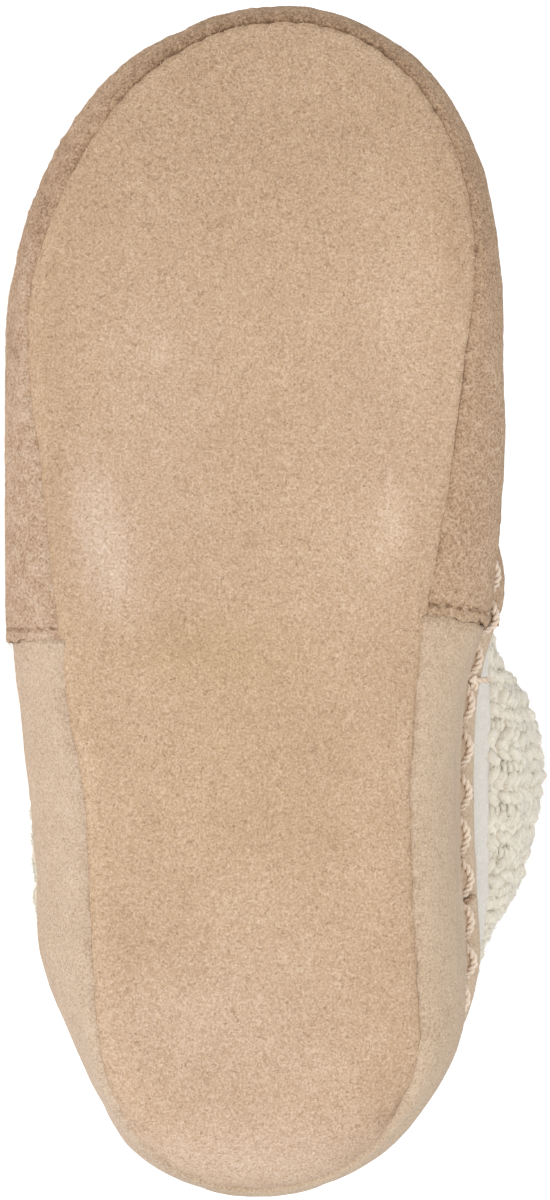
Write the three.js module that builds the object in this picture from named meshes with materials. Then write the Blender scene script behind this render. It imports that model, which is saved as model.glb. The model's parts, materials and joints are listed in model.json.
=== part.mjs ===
import * as THREE from 'three';

// A soft suede slipper for the right foot, lying on its outer side, in millimetres.
// The shoe's own frame: x from heel to toe, y towards the inner side, z up from the ground.

// Main sizes: the toe's place, the gaps left in the seams, thicknesses and heights, and the share
// of the cuff's height over which it flares from the band
const TOE = 256;
const GAP = 0.3;
const BAND_SEAT = 0.5;
const VAMP_THICK = 1.4;
const VAMP_STEP = VAMP_THICK + GAP;
const WALL = 2.6;
const SOLE_THICK = 7;
const SOLE_LIP = 3;
const INSOLE_THICK = 3.6;
const INSOLE_BEVEL = 1.2;
const BAND_UP = 8;
const BAND_THICK = 2.4;
const BAND_INSET = 3.1;
const CUFF_ROLL = 13;
const HEM_DROP = 4;
const FLARE = 0.3;

// Ends of the seam with the sole, of the widest line of the side and of the topline
const SEAM = { heel: 2, heelRound: 39, heelPower: 2.2, toe: 251.8, toeRound: 65, toePower: 2.08 };
const SIDE = { heel: -VAMP_STEP, heelRound: 58.7, heelPower: 2.06, toe: TOE, toeRound: 72, toePower: 2.08 };
const TOP = { heel: 4.5, heelRound: 52, heelPower: 2, toe: 170, toeRound: 46, toePower: 2 };

// The roll of the sole's edge: plain, then what the heel, the toe and the inner waist add
const EDGE = { run: 7, up: 3.2 };
const HEEL_CUP = { reach: 36, run: 12, up: 10 };
const TOE_SPRING = { start: 196, up: 5, run: 3 };
const ARCH = { middle: 112, reach: 46, run: 8, up: 1.6 };

// Where the vamp's back edge crosses the side, inner and outer
const VAMP_BACK = { inner: 124.7, outer: 119.4 };

// Ribs of the wall from heel to toe.
// Each has half-breadth and middle at the sole seam, at the widest line of the side with its
// height, and at the topline with its place along the shoe and height.
// Rise, shoulder and drop set how upright the wall leaves the side and how flat it arrives.
const RIBS = [
  { along: -VAMP_STEP, seam: 34.6, seamMid: -0.8, side: 48.2, sideMid: -1.6, sideUp: 20,
    top: 47, topMid: -0.8, topAlong: 4.5, topUp: 48, rise: 0.4, shoulder: 0, drop: 0.4 },
  { along: 32, seam: 34.6, seamMid: -0.1, side: 47.8, sideMid: 0.9, sideUp: 19,
    top: 47.8, topMid: 0.9, topAlong: 34, topUp: 42, rise: 0.4, shoulder: 0, drop: 0.4 },
  { along: 58, seam: 34.6, seamMid: -1.8, side: 47.6, sideMid: -1.9, sideUp: 18,
    top: 49.1, topMid: -1.2, topAlong: 58, topUp: 38, rise: 0.4, shoulder: 0, drop: 0.4 },
  { along: 86, seam: 34.9, seamMid: -3, side: 47.8, sideMid: -3.2, sideUp: 17,
    top: 49.4, topMid: -2.4, topAlong: 86, topUp: 36.5, rise: 0.4, shoulder: 0, drop: 0.4 },
  { along: 109, seam: 37.7, seamMid: -4.3, side: 49.8, sideMid: -3.8, sideUp: 16,
    top: 50.4, topMid: -2.6, topAlong: 107, topUp: 36.5, rise: 0.4, shoulder: 0, drop: 0.4 },
  { along: 124, seam: 39.4, seamMid: -4, side: 52.6, sideMid: -3, sideUp: 14.5,
    top: 51.9, topMid: -1.5, topAlong: 121, topUp: 37.2, rise: 0.4, shoulder: 0.1, drop: 0.35 },
  { along: 150, seam: 43.2, seamMid: -3.4, side: 53.6, sideMid: -1.7, sideUp: 12.5,
    top: 53.6, topMid: -0.2, topAlong: 140, topUp: 40, rise: 0.45, shoulder: 0.22, drop: 0.22 },
  { along: 186, seam: 47.2, seamMid: -2.6, side: 53.5, sideMid: -1.6, sideUp: 12,
    top: 53, topMid: 0, topAlong: 157, topUp: 47.5, rise: 0.52, shoulder: 0.48, drop: 0.22 },
  { along: 222, seam: 47.3, seamMid: 1.6, side: 53.7, sideMid: 0.6, sideUp: 12,
    top: 52, topMid: 0.4, topAlong: 166.5, topUp: 55, rise: 0.56, shoulder: 0.6, drop: 0.3 },
  { along: 256, seam: 47.3, seamMid: 5, side: 53.7, sideMid: 4, sideUp: 11.5,
    top: 52, topMid: 0.6, topAlong: 170, topUp: 59, rise: 0.54, shoulder: 0.62, drop: 0.34 },
];

// The knit cuff round the opening, turning from the heel by the inner side and the toe:
// how far outside the topline the band's head and the cuff's hem stand, how far the cuff leans
// out above that, and how tall it is.
const CUFF = [
  { turn: 0, band: -2.6, out: 5, lean: -3, tall: 39 },
  { turn: 44, band: -2.8, out: 0.6, lean: -0.6, tall: 45 },
  { turn: 53, band: -0.6, out: 1.4, lean: 0, tall: 46 },
  { turn: 61, band: 2, out: 7, lean: 3.2, tall: 46 },
  { turn: 73, band: 2.6, out: 11.5, lean: 6.5, tall: 45 },
  { turn: 82, band: 2.2, out: 7.2, lean: 4, tall: 46 },
  { turn: 88, band: -0.6, out: 2, lean: 0.4, tall: 47 },
  { turn: 98, band: -2.8, out: 1.4, lean: -4, tall: 46 },
  { turn: 116, band: -3, out: 2, lean: -13, tall: 42 },
  { turn: 145, band: -3.2, out: 2.6, lean: -17, tall: 37 },
  { turn: 180, band: -3.4, out: 2.6, lean: -17, tall: 33 },
  { turn: 215, band: -3.2, out: 2.4, lean: -16, tall: 37 },
  { turn: 244, band: -3, out: 1.4, lean: -11, tall: 42 },
  { turn: 268, band: -3, out: 0.6, lean: -2, tall: 46 },
  { turn: 292, band: -2.8, out: 1.5, lean: 1, tall: 48 },
  { turn: 314, band: -3, out: 0.4, lean: -1, tall: 45 },
];

// The floor it lies on, as a plane against the outer side: where it meets the vamp's widest
// line, how far that line is off the middle, and how far the plane leans towards the cuff.
const FLOOR = { up: 12, off: 54.8, lean: 4.6 * Math.PI / 180 };

// Parts of the wall below and above its widest line, ribs on each quarter of the shoe, and
// rings on the sole's upper face from the seam in over the roll of its edge
const LOW_STEPS = 5;
const HIGH_STEPS = 9;
const QUARTER_RIBS = 16;
const TOP_SHARES = [0, 0.3, 0.65, 1];

// Smooth reading of a table between its rows
function hermite(x0, v0, m0, x1, v1, m1, x) {
  const h = x1 - x0;
  const u = (x - x0) / h;
  const u2 = u * u;
  const u3 = u2 * u;
  return v0 * (2 * u3 - 3 * u2 + 1) + m0 * h * (u3 - 2 * u2 + u)
    + v1 * (3 * u2 - 2 * u3) + m1 * h * (u3 - u2);
}

function rib(name, along) {
  const last = RIBS.length - 1;
  const x = Math.min(Math.max(along, RIBS[0].along), RIBS[last].along);
  let i = 0;
  while (i < last - 1 && x > RIBS[i + 1].along) {
    i += 1;
  }
  const slope = (k) => {
    const low = RIBS[Math.max(k - 1, 0)];
    const high = RIBS[Math.min(k + 1, last)];
    return (high[name] - low[name]) / (high.along - low.along);
  };
  const a = RIBS[i];
  const b = RIBS[i + 1];
  return hermite(a.along, a[name], slope(i), b.along, b[name], slope(i + 1), x);
}

function cuff(name, turn) {
  const count = CUFF.length;
  const row = (k) => {
    const wrap = Math.floor(k / count);
    const r = CUFF[k - wrap * count];
    return { turn: r.turn + 360 * wrap, value: r[name] };
  };
  const slope = (k) => {
    const low = row(k - 1);
    const high = row(k + 1);
    return (high.value - low.value) / (high.turn - low.turn);
  };
  let i = 0;
  while (row(i + 1).turn <= turn) {
    i += 1;
  }
  const a = row(i);
  const b = row(i + 1);
  return hermite(a.turn, a.value, slope(i), b.turn, b.value, slope(i + 1), turn);
}

function ease(from, to, x) {
  const u = Math.min(Math.max((x - from) / (to - from), 0), 1);
  return u * u * (3 - 2 * u);
}

// Share of the full breadth left near a rounded end
function rounding(line, x) {
  const heel = Math.min(Math.max((x - line.heel) / line.heelRound, 0), 1);
  const toe = Math.min(Math.max((line.toe - x) / line.toeRound, 0), 1);
  const atHeel = (1 - (1 - heel) ** line.heelPower) ** (1 / line.heelPower);
  const atToe = (1 - (1 - toe) ** line.toePower) ** (1 / line.toePower);
  return atHeel * atToe;
}

// Turn runs from the heel (0) by the inner side to the toe (pi) and back by the outer side.
function alongSide(turn) {
  return SIDE.heel + (SIDE.toe - SIDE.heel) * (1 - Math.cos(turn)) / 2;
}

function turnAt(along) {
  return Math.acos(1 - 2 * (along - SIDE.heel) / (SIDE.toe - SIDE.heel));
}

function handed(turn) {
  return Math.sin(turn) < 0 ? -1 : 1;
}

function seamLine(turn) {
  const x = SEAM.heel + (SEAM.toe - SEAM.heel) * (1 - Math.cos(turn)) / 2;
  const half = rib('seam', x) * rounding(SEAM, x);
  return new THREE.Vector3(x, rib('seamMid', x) + handed(turn) * half, seamUp(turn, x));
}

function sideLine(turn) {
  const x = alongSide(turn);
  const half = rib('side', x) * rounding(SIDE, x);
  return new THREE.Vector3(x, rib('sideMid', x) + handed(turn) * half, rib('sideUp', x) + spring(x));
}

function topLine(turn) {
  const x = alongSide(turn);
  const along = rib('topAlong', x);
  const half = rib('top', x) * rounding(TOP, along);
  return new THREE.Vector3(along, rib('topMid', x) + handed(turn) * half, rib('topUp', x));
}

// Lift of the ground face at the toe
function spring(x) {
  return TOE_SPRING.up * ease(TOE_SPRING.start, TOE, x) ** 1.4;
}

function cup(x) {
  return 1 - ease(0, HEEL_CUP.reach, x);
}

function archShare(turn, x) {
  const near = Math.max(0, 1 - Math.abs(x - ARCH.middle) / ARCH.reach);
  return handed(turn) > 0 ? ease(0, 1, near) : 0;
}

function seamUp(turn, x) {
  return EDGE.up + spring(x) + HEEL_CUP.up * cup(x) + ARCH.up * archShare(turn, x);
}

function edgeRun(turn, x) {
  const toeShare = ease(TOE_SPRING.start, TOE, x);
  return EDGE.run + HEEL_CUP.run * cup(x) + TOE_SPRING.run * toeShare + ARCH.run * archShare(turn, x);
}

// Level outward direction of a line at a turn
function outward(line, turn) {
  const step = 1e-3;
  const a = line(turn - step);
  const b = line(turn + step);
  return new THREE.Vector3(a.y - b.y, b.x - a.x, 0).normalize();
}

// The shoe's outer surface: height share 0 at the sole seam, 1 at the widest line, 2 at the topline
function skin(turn, share) {
  const side = sideLine(turn);
  if (share <= 1) {
    const seam = seamLine(turn);
    const angle = share * Math.PI / 2;
    const p = seam.clone().lerp(side, Math.sin(angle));
    p.z = seam.z + (side.z - seam.z) * (1 - Math.cos(angle));
    return p;
  }
  const top = topLine(turn);
  const x = alongSide(turn);
  const v = share - 1;
  const w = 1 - v;
  const height = top.z - side.z;
  const late = 1 - rib('shoulder', x);
  const p = side.clone().lerp(top, 3 * w * v * v * late + v ** 3);
  p.z = w ** 3 * side.z + 3 * w * w * v * (side.z + rib('rise', x) * height)
    + 3 * w * v * v * (top.z - rib('drop', x) * height) + v ** 3 * top.z;
  return p;
}

function skinFrame(turn, share) {
  const step = 2e-3;
  const low = Math.max(share - step, 0);
  const high = Math.min(share + step, 2);
  const rise = skin(turn, high).sub(skin(turn, low)).normalize();
  const round = skin(turn + step, share).sub(skin(turn - step, share));
  const normal = rise.clone().cross(round).normalize();
  return { rise, normal };
}

// Height over the floor plane, and the soft side pressed flat where it would pass it
const FLOOR_UP = new THREE.Vector3(0, Math.cos(FLOOR.lean), -Math.sin(FLOOR.lean));
const FLOOR_AT = new THREE.Vector3(0, -FLOOR.off, FLOOR.up);

function pressed(point, inset) {
  const height = point.clone().sub(FLOOR_AT).dot(FLOOR_UP);
  return height < inset ? point.addScaledVector(FLOOR_UP, inset - height) : point;
}

function layer(turn, share, inset) {
  const p = skin(turn, share);
  p.addScaledVector(skinFrame(turn, share).normal, -inset);
  return pressed(p, inset);
}

// Turns of all ribs, with one on each back edge of the vamp
function ribTurns() {
  const innerEdge = turnAt(VAMP_BACK.inner);
  const outerEdge = 2 * Math.PI - turnAt(VAMP_BACK.outer);
  const marks = [0, innerEdge, Math.PI, outerEdge, 2 * Math.PI];
  const turns = [];
  for (let m = 0; m < 4; m += 1) {
    for (let k = 0; k < QUARTER_RIBS; k += 1) {
      turns.push(marks[m] + (marks[m + 1] - marks[m]) * k / QUARTER_RIBS);
    }
  }
  return turns;
}

const TURNS = ribTurns();

function wallShares() {
  const shares = [];
  for (let k = 0; k <= LOW_STEPS; k += 1) {
    shares.push(k / LOW_STEPS);
  }
  for (let k = 1; k <= HIGH_STEPS; k += 1) {
    shares.push(1 + k / HIGH_STEPS);
  }
  return shares;
}

const SHARES = wallShares();

// Solids from rows of points
function solid(points, faces) {
  const geometry = new THREE.BufferGeometry();
  const places = points.flatMap((p) => p.toArray());
  geometry.setAttribute('position', new THREE.Float32BufferAttribute(places, 3));
  geometry.setIndex(faces.flat());
  geometry.computeVertexNormals();
  return geometry;
}

function quad(faces, a, b, c, d) {
  faces.push([a, b, c], [a, c, d]);
}

// Closed outlines in a row, joined side to side; an open row is closed by a strip at each end.
// The faces of the second half are split the other way, so nested walls run parallel.
function swept(outlines, ring) {
  const size = outlines[0].length;
  const faces = [];
  const rows = ring ? outlines.length : outlines.length - 1;
  for (let i = 0; i < rows; i += 1) {
    const j = (i + 1) % outlines.length;
    for (let k = 0; k < size; k += 1) {
      const l = (k + 1) % size;
      if (2 * k < size) {
        quad(faces, i * size + k, i * size + l, j * size + l, j * size + k);
      } else {
        quad(faces, j * size + k, i * size + k, i * size + l, j * size + l);
      }
    }
  }
  if (!ring) {
    const last = (outlines.length - 1) * size;
    for (let k = 0; k < size / 2 - 1; k += 1) {
      quad(faces, k, size - 1 - k, size - 2 - k, k + 1);
      quad(faces, last + k, last + k + 1, last + size - 2 - k, last + size - 1 - k);
    }
  }
  return solid(outlines.flat(), faces);
}

// Rings of points from the underside round the edge to the upper side; rungs close both faces.
function pad(rings) {
  const count = rings[0].length;
  const faces = [];
  for (let r = 0; r < rings.length - 1; r += 1) {
    for (let i = 0; i < count; i += 1) {
      const j = (i + 1) % count;
      quad(faces, r * count + i, (r + 1) * count + i, (r + 1) * count + j, r * count + j);
    }
  }
  const top = (rings.length - 1) * count;
  for (let i = 0; i < count / 2; i += 1) {
    const a = i;
    const b = i + 1;
    const c = (count - i - 1) % count;
    const d = (count - i) % count;
    const below = [a, b, c, d].filter((v, k, all) => all.indexOf(v) === k);
    for (let k = 1; k < below.length - 1; k += 1) {
      faces.push([below[0], below[k], below[k + 1]]);
      faces.push([top + below[0], top + below[k + 1], top + below[k]]);
    }
  }
  return solid(rings.flat(), faces);
}

function wallOutline(turn, outer, inner) {
  const up = SHARES.map((share) => layer(turn, share, outer));
  const down = SHARES.map((share) => layer(turn, share, inner)).reverse();
  return [...up, ...down];
}

function upperWall() {
  const outlines = TURNS.map((turn) => wallOutline(turn, VAMP_STEP, VAMP_STEP + WALL));
  return swept(outlines, true);
}

function vampLayer() {
  const outlines = [];
  for (let k = QUARTER_RIBS; k <= 3 * QUARTER_RIBS; k += 1) {
    outlines.push(wallOutline(TURNS[k], 0, VAMP_THICK));
  }
  return swept(outlines, false);
}

// A point on the sole, so far in from the seam line and so high
function inFromSeam(turn, inward, up) {
  const p = seamLine(turn);
  p.addScaledVector(outward(seamLine, turn), -inward);
  p.z = up;
  return p;
}

// Upper face of the sole: level, cupped up to the seam at the heel, sprung at the toe
function soleTop(turn, inward) {
  const x = seamLine(turn).x;
  const level = SOLE_THICK + spring(inFromSeam(turn, inward, 0).x);
  const lip = seamUp(turn, x) - spring(x) - EDGE.up;
  const share = Math.min(Math.max(1 - inward / edgeRun(turn, x), 0), 1);
  return level + lip * (1 - Math.sqrt(1 - share * share));
}

function outsole() {
  const rings = [];
  const steps = 5;
  for (let k = 0; k <= steps; k += 1) {
    const angle = (k / steps) * Math.PI / 2;
    rings.push(TURNS.map((turn) => {
      const x = seamLine(turn).x;
      const inward = GAP + edgeRun(turn, x) * (1 - Math.sin(angle));
      const lift = spring(inFromSeam(turn, inward, 0).x);
      const roll = seamUp(turn, x) - spring(x) + SOLE_LIP - EDGE.up;
      return inFromSeam(turn, inward, lift + roll * (1 - Math.cos(angle)));
    }));
  }
  TOP_SHARES.forEach((share) => {
    rings.push(TURNS.map((turn) => {
      const x = seamLine(turn).x;
      const inward = GAP + edgeRun(turn, x) * share;
      return inFromSeam(turn, inward, soleTop(turn, inward));
    }));
  });
  return pad(rings);
}

function insole() {
  const rings = [];
  const ring = (share, more, lift) => TURNS.map((turn) => {
    const inward = GAP + edgeRun(turn, seamLine(turn).x) * share;
    return inFromSeam(turn, inward + more, soleTop(turn, inward) + GAP + lift);
  });
  [...TOP_SHARES].reverse().slice(0, 3).forEach((share) => rings.push(ring(share, 0, 0)));
  rings.push(ring(TOP_SHARES[1], 0, INSOLE_THICK - INSOLE_BEVEL));
  rings.push(ring(TOP_SHARES[1], INSOLE_BEVEL, INSOLE_THICK));
  rings.push(ring(TOP_SHARES[3], INSOLE_BEVEL, INSOLE_THICK));
  return pad(rings);
}

// A point by the topline, so far outside it and so far above it
function byTopline(turn, out, up) {
  const p = topLine(turn);
  p.addScaledVector(outward(topLine, turn), out);
  p.z += up;
  return p;
}

function cuffAt(name, turn) {
  return cuff(name, turn * 180 / Math.PI);
}

// One face of the band: it leaves the wall's edge along the wall and ends upright under the cuff
function bandFace(turn, inset) {
  const frame = skinFrame(turn, 2);
  const foot = topLine(turn).addScaledVector(frame.rise, BAND_SEAT).addScaledVector(frame.normal, -inset);
  const head = byTopline(turn, cuffAt('band', turn) - (inset - BAND_INSET), BAND_UP);
  const reach = foot.distanceTo(head) / 3;
  const low = foot.clone().addScaledVector(frame.rise, reach);
  const high = head.clone();
  high.z -= reach;
  const curve = new THREE.CubicBezierCurve3(foot, low, high, head);
  return curve.getPoints(4);
}

function collarBand() {
  const outlines = TURNS.map((turn) => {
    const outer = bandFace(turn, BAND_INSET);
    const inner = bandFace(turn, BAND_INSET + BAND_THICK).reverse();
    return [...outer, ...inner];
  });
  return swept(outlines, true);
}

// The turned-over cuff in section: hem, flare, outer face, rounded fold, inner face, rabbet over
// the band
function cuffOutline(turn) {
  const out = cuffAt('out', turn);
  const lean = cuffAt('lean', turn);
  const tall = cuffAt('tall', turn);
  const foot = BAND_UP + GAP;
  const inner = out - CUFF_ROLL;
  const notch = cuffAt('band', turn) + BAND_SEAT;
  const fold = CUFF_ROLL / 2;
  const hem = BAND_UP - HEM_DROP;
  const straight = tall - fold;
  const leaning = (share) => lean * share * share * (3 - 2 * share);
  const points = [[notch, foot], [notch, BAND_UP - 0.55 * HEM_DROP], [notch + 1, hem]];
  const flareOut = out + leaning(FLARE) - notch - 1;
  const flareUp = foot + FLARE * straight - hem;
  [35, 65].forEach((degrees) => {
    const angle = degrees * Math.PI / 180;
    points.push([notch + 1 + flareOut * Math.sin(angle), hem + flareUp * (1 - Math.cos(angle))]);
  });
  [FLARE, 0.65, 1].forEach((share) => {
    points.push([out + leaning(share), foot + straight * share]);
  });
  [45, 90, 135].forEach((degrees) => {
    const angle = degrees * Math.PI / 180;
    points.push([out + lean - fold + fold * Math.cos(angle), foot + straight + fold * Math.sin(angle)]);
  });
  [1, 0.65, 0.3, 0].forEach((share) => {
    points.push([inner + leaning(share), foot + straight * share + (share === 0 ? 1.5 : 0)]);
  });
  points.push([inner + 1.5, foot]);
  return points.map(([r, z]) => pressed(byTopline(turn, r, z), 0));
}

function knitCuff() {
  return swept(TURNS.map(cuffOutline), true);
}

function piece(name, geometry, colour, roughness) {
  const material = new THREE.MeshStandardMaterial({ color: colour, roughness, metalness: 0 });
  const mesh = new THREE.Mesh(geometry, material);
  mesh.name = name;
  return mesh;
}

// The shoe laid on its outer side: toe towards -x, ground face towards -y, inner side up
const slipper = new THREE.Group();
slipper.name = 'slipper';
slipper.add(piece('outsole', outsole(), 0xcbab8a, 0.95));
slipper.add(piece('insole', insole(), 0xe6dfd0, 1));
slipper.add(piece('upper', upperWall(), 0xc9ae90, 0.95));
slipper.add(piece('vamp', vampLayer(), 0xb89a7c, 0.95));
slipper.add(piece('collar_band', collarBand(), 0xdcd7cd, 1));
slipper.add(piece('knit_cuff', knitCuff(), 0xdbd2c0, 1));

const laid = new THREE.Matrix4().makeBasis(
  new THREE.Vector3(-1, 0, 0),
  new THREE.Vector3(0, Math.sin(FLOOR.lean), Math.cos(FLOOR.lean)),
  new THREE.Vector3(0, Math.cos(FLOOR.lean), -Math.sin(FLOOR.lean)),
);
slipper.quaternion.setFromRotationMatrix(laid);
slipper.updateMatrixWorld(true);
const box = new THREE.Box3().setFromObject(slipper, true);
slipper.position.set(-(box.min.x + box.max.x) / 2, -(box.min.y + box.max.y) / 2, -box.min.z);

const part = new THREE.Group();
part.name = 'part';
part.add(slipper);

export default part;
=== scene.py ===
import json
import math

import bmesh
import bpy
import numpy as np
from mathutils import Matrix, Vector


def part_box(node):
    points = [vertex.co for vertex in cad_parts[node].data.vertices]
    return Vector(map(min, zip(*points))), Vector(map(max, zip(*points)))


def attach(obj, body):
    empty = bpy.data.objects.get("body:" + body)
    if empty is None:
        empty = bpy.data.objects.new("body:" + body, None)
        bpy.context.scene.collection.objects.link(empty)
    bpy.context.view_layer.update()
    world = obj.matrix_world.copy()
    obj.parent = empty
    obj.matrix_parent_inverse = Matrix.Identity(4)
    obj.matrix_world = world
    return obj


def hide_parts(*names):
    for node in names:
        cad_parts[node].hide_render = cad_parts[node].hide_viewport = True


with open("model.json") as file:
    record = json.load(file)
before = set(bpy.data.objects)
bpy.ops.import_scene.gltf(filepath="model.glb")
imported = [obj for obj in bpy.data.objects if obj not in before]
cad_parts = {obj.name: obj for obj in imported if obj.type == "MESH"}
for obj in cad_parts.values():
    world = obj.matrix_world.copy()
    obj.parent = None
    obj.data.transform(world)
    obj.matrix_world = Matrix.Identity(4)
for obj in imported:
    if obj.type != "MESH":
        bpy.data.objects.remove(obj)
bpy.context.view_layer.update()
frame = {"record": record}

# A soft suede slipper for the right foot, lying on its outer side.
# Shapes are worked out in the shoe's own frame in millimetres, with x from heel to toe,
# y towards the inner side and z up from the ground, and laid into the row's frame at the end.

# Main sizes, the same as the solids'
TOE = 256.0
GAP = 0.3
BAND_SEAT = 0.5
VAMP_THICK = 1.4
VAMP_STEP = VAMP_THICK + GAP
WALL = 2.6
SOLE_THICK = 7.0
SOLE_LIP = 3.0
INSOLE_THICK = 3.6
BAND_UP = 8.0
BAND_THICK = 2.4
BAND_INSET = 3.1
CUFF_ROLL = 13.0
FLARE, FLARE_WAY = 0.3, 0.4
WALL_INSIDE = VAMP_STEP + WALL

# Ends of the seam with the sole, of the widest line of the side and of the topline:
# heel, its rounding and power, toe, its rounding and power
SEAM = (2.0, 39.0, 2.2, 251.8, 65.0, 2.08)
SIDE = (-VAMP_STEP, 58.7, 2.06, TOE, 72.0, 2.08)
TOP = (4.5, 52.0, 2.0, 170.0, 46.0, 2.0)

# The sole's rolled edge, its cup round the heel, the spring of the toe and the arch on the inner side
EDGE_RUN, EDGE_UP = 7.0, 3.2
CUP_REACH, CUP_RUN, CUP_UP = 36.0, 12.0, 10.0
SPRING_START, SPRING_UP, SPRING_RUN, SPRING_POWER = 196.0, 5.0, 3.0, 1.4
ARCH_MIDDLE, ARCH_REACH, ARCH_RUN, ARCH_UP = 112.0, 46.0, 8.0, 1.6

# The vamp's back edges along the shoe, and the floor that the shoe lies on
VAMP_BACK_INNER, VAMP_BACK_OUTER = 124.7, 119.4
FLOOR_UP, FLOOR_OFF, FLOOR_LEAN = 12.0, 54.8, math.radians(4.6)

# Ribs of the wall from heel to toe, as in the solids
RIB_NAMES = ("along", "seam", "seam_mid", "side", "side_mid", "side_up", "top", "top_mid",
             "top_along", "top_up", "rise", "shoulder", "drop")
RIBS = np.array([
    (-VAMP_STEP, 34.6, -0.8, 48.2, -1.6, 20, 47, -0.8, 4.5, 48, 0.4, 0, 0.4),
    (32, 34.6, -0.1, 47.8, 0.9, 19, 47.8, 0.9, 34, 42, 0.4, 0, 0.4),
    (58, 34.6, -1.8, 47.6, -1.9, 18, 49.1, -1.2, 58, 38, 0.4, 0, 0.4),
    (86, 34.9, -3, 47.8, -3.2, 17, 49.4, -2.4, 86, 36.5, 0.4, 0, 0.4),
    (109, 37.7, -4.3, 49.8, -3.8, 16, 50.4, -2.6, 107, 36.5, 0.4, 0, 0.4),
    (124, 39.4, -4, 52.6, -3, 14.5, 51.9, -1.5, 121, 37.2, 0.4, 0.1, 0.35),
    (150, 43.2, -3.4, 53.6, -1.7, 12.5, 53.6, -0.2, 140, 40, 0.45, 0.22, 0.22),
    (186, 47.2, -2.6, 53.5, -1.6, 12, 53, 0, 157, 47.5, 0.52, 0.48, 0.22),
    (222, 47.3, 1.6, 53.7, 0.6, 12, 52, 0.4, 166.5, 55, 0.56, 0.6, 0.3),
    (256, 47.3, 5, 53.7, 4, 11.5, 52, 0.6, 170, 59, 0.54, 0.62, 0.34),
])

# The knit cuff round the opening by turn in degrees, close to the solid's
CUFF_NAMES = ("turn", "band", "out", "lean", "tall")
CUFF = np.array([
    (0, -2.6, 5, -3, 39), (44, -2.8, 0.6, -0.6, 45), (53, -0.6, 1.4, 0, 46), (61, 2, 7.5, 3.5, 46),
    (73, 2.6, 10.6, 5.9, 45), (82, 2.2, 7.9, 4.2, 46), (88, -0.6, 1, 0.3, 47), (98, -2.8, 1.4, -4, 46),
    (116, -3, 2, -13, 42), (145, -3.2, 2.6, -17, 37), (180, -3.4, 2.6, -17, 33), (215, -3.2, 2.4, -16, 37),
    (244, -3, 1.4, -11, 42), (268, -3, 0.6, -2, 46), (281, -2.9, 4.6, 0.8, 47), (294, -2.8, 3.6, 1.4, 48),
    (314, -3, 0.4, -1, 45),
])
TAU = 2 * math.pi


# Smooth reading of a table between its rows
def read(xs, values, x):
    slopes = np.empty(len(xs))
    slopes[1:-1] = (values[2:] - values[:-2]) / (xs[2:] - xs[:-2])
    slopes[0] = (values[1] - values[0]) / (xs[1] - xs[0])
    slopes[-1] = (values[-1] - values[-2]) / (xs[-1] - xs[-2])
    x = np.clip(x, xs[0], xs[-1])
    i = np.clip(np.searchsorted(xs, x, side="left") - 1, 0, len(xs) - 2)
    h = xs[i + 1] - xs[i]
    u = (x - xs[i]) / h
    u2, u3 = u * u, u * u * u
    return (values[i] * (2 * u3 - 3 * u2 + 1) + slopes[i] * h * (u3 - 2 * u2 + u)
            + values[i + 1] * (3 * u2 - 2 * u3) + slopes[i + 1] * h * (u3 - u2))


def rib(name, along):
    return read(RIBS[:, 0], RIBS[:, RIB_NAMES.index(name)], along)


CUFF_ROUND = np.vstack([CUFF[-3:] - (360, 0, 0, 0, 0), CUFF, CUFF[:3] + (360, 0, 0, 0, 0)])


def cuff(name, turn):
    return read(CUFF_ROUND[:, 0], CUFF_ROUND[:, CUFF_NAMES.index(name)], np.degrees(turn) % 360)


def ease(start, end, x):
    u = np.clip((x - start) / (end - start), 0, 1)
    return u * u * (3 - 2 * u)


def bell(x, width):
    return np.exp(-(x / width) ** 2)


def rounding(line, x):
    heel, heel_round, heel_power, toe, toe_round, toe_power = line
    a = 1 - np.clip((x - heel) / heel_round, 0, 1)
    b = 1 - np.clip((toe - x) / toe_round, 0, 1)
    return (1 - a ** heel_power) ** (1 / heel_power) * (1 - b ** toe_power) ** (1 / toe_power)


# Turn runs from the heel (0) by the inner side to the toe (pi) and back by the outer side
def along_side(turn):
    return SIDE[0] + (SIDE[3] - SIDE[0]) * (1 - np.cos(turn)) / 2


def turn_at(along):
    return np.arccos(np.clip(1 - 2 * (along - SIDE[0]) / (SIDE[3] - SIDE[0]), -1, 1))


def handed(turn):
    return np.where(np.sin(turn) < 0, -1.0, 1.0)


# Reading of a table with a column for the inner side and one for the outer side
def by_side(table, x, turn):
    inner, outer = (np.interp(x, table[:, 0], table[:, k]) for k in (1, 2))
    return np.where(handed(turn) > 0, inner, outer)


def spring(x):
    return SPRING_UP * ease(SPRING_START, TOE, x) ** SPRING_POWER


def cup(x):
    return 1 - ease(0, CUP_REACH, x)


def arch_share(turn, x):
    near = np.clip(1 - np.abs(x - ARCH_MIDDLE) / ARCH_REACH, 0, 1)
    return np.where(handed(turn) > 0, ease(0, 1, near), 0)


def seam_up(turn, x):
    return EDGE_UP + spring(x) + CUP_UP * cup(x) + ARCH_UP * arch_share(turn, x)


def edge_run(turn, x):
    toe = ease(SPRING_START, TOE, x)
    return EDGE_RUN + CUP_RUN * cup(x) + SPRING_RUN * toe + ARCH_RUN * arch_share(turn, x)


def seam_line(turn):
    x = SEAM[0] + (SEAM[3] - SEAM[0]) * (1 - np.cos(turn)) / 2
    y = rib("seam_mid", x) + handed(turn) * rib("seam", x) * rounding(SEAM, x)
    return np.stack([x, y, seam_up(turn, x)], axis=-1)


def side_line(turn):
    x = along_side(turn)
    y = rib("side_mid", x) + handed(turn) * rib("side", x) * rounding(SIDE, x)
    return np.stack([x, y, rib("side_up", x) + spring(x)], axis=-1)


def top_line(turn):
    x = along_side(turn)
    along = rib("top_along", x)
    y = rib("top_mid", x) + handed(turn) * rib("top", x) * rounding(TOP, along)
    return np.stack([along, y, rib("top_up", x)], axis=-1)


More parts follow.
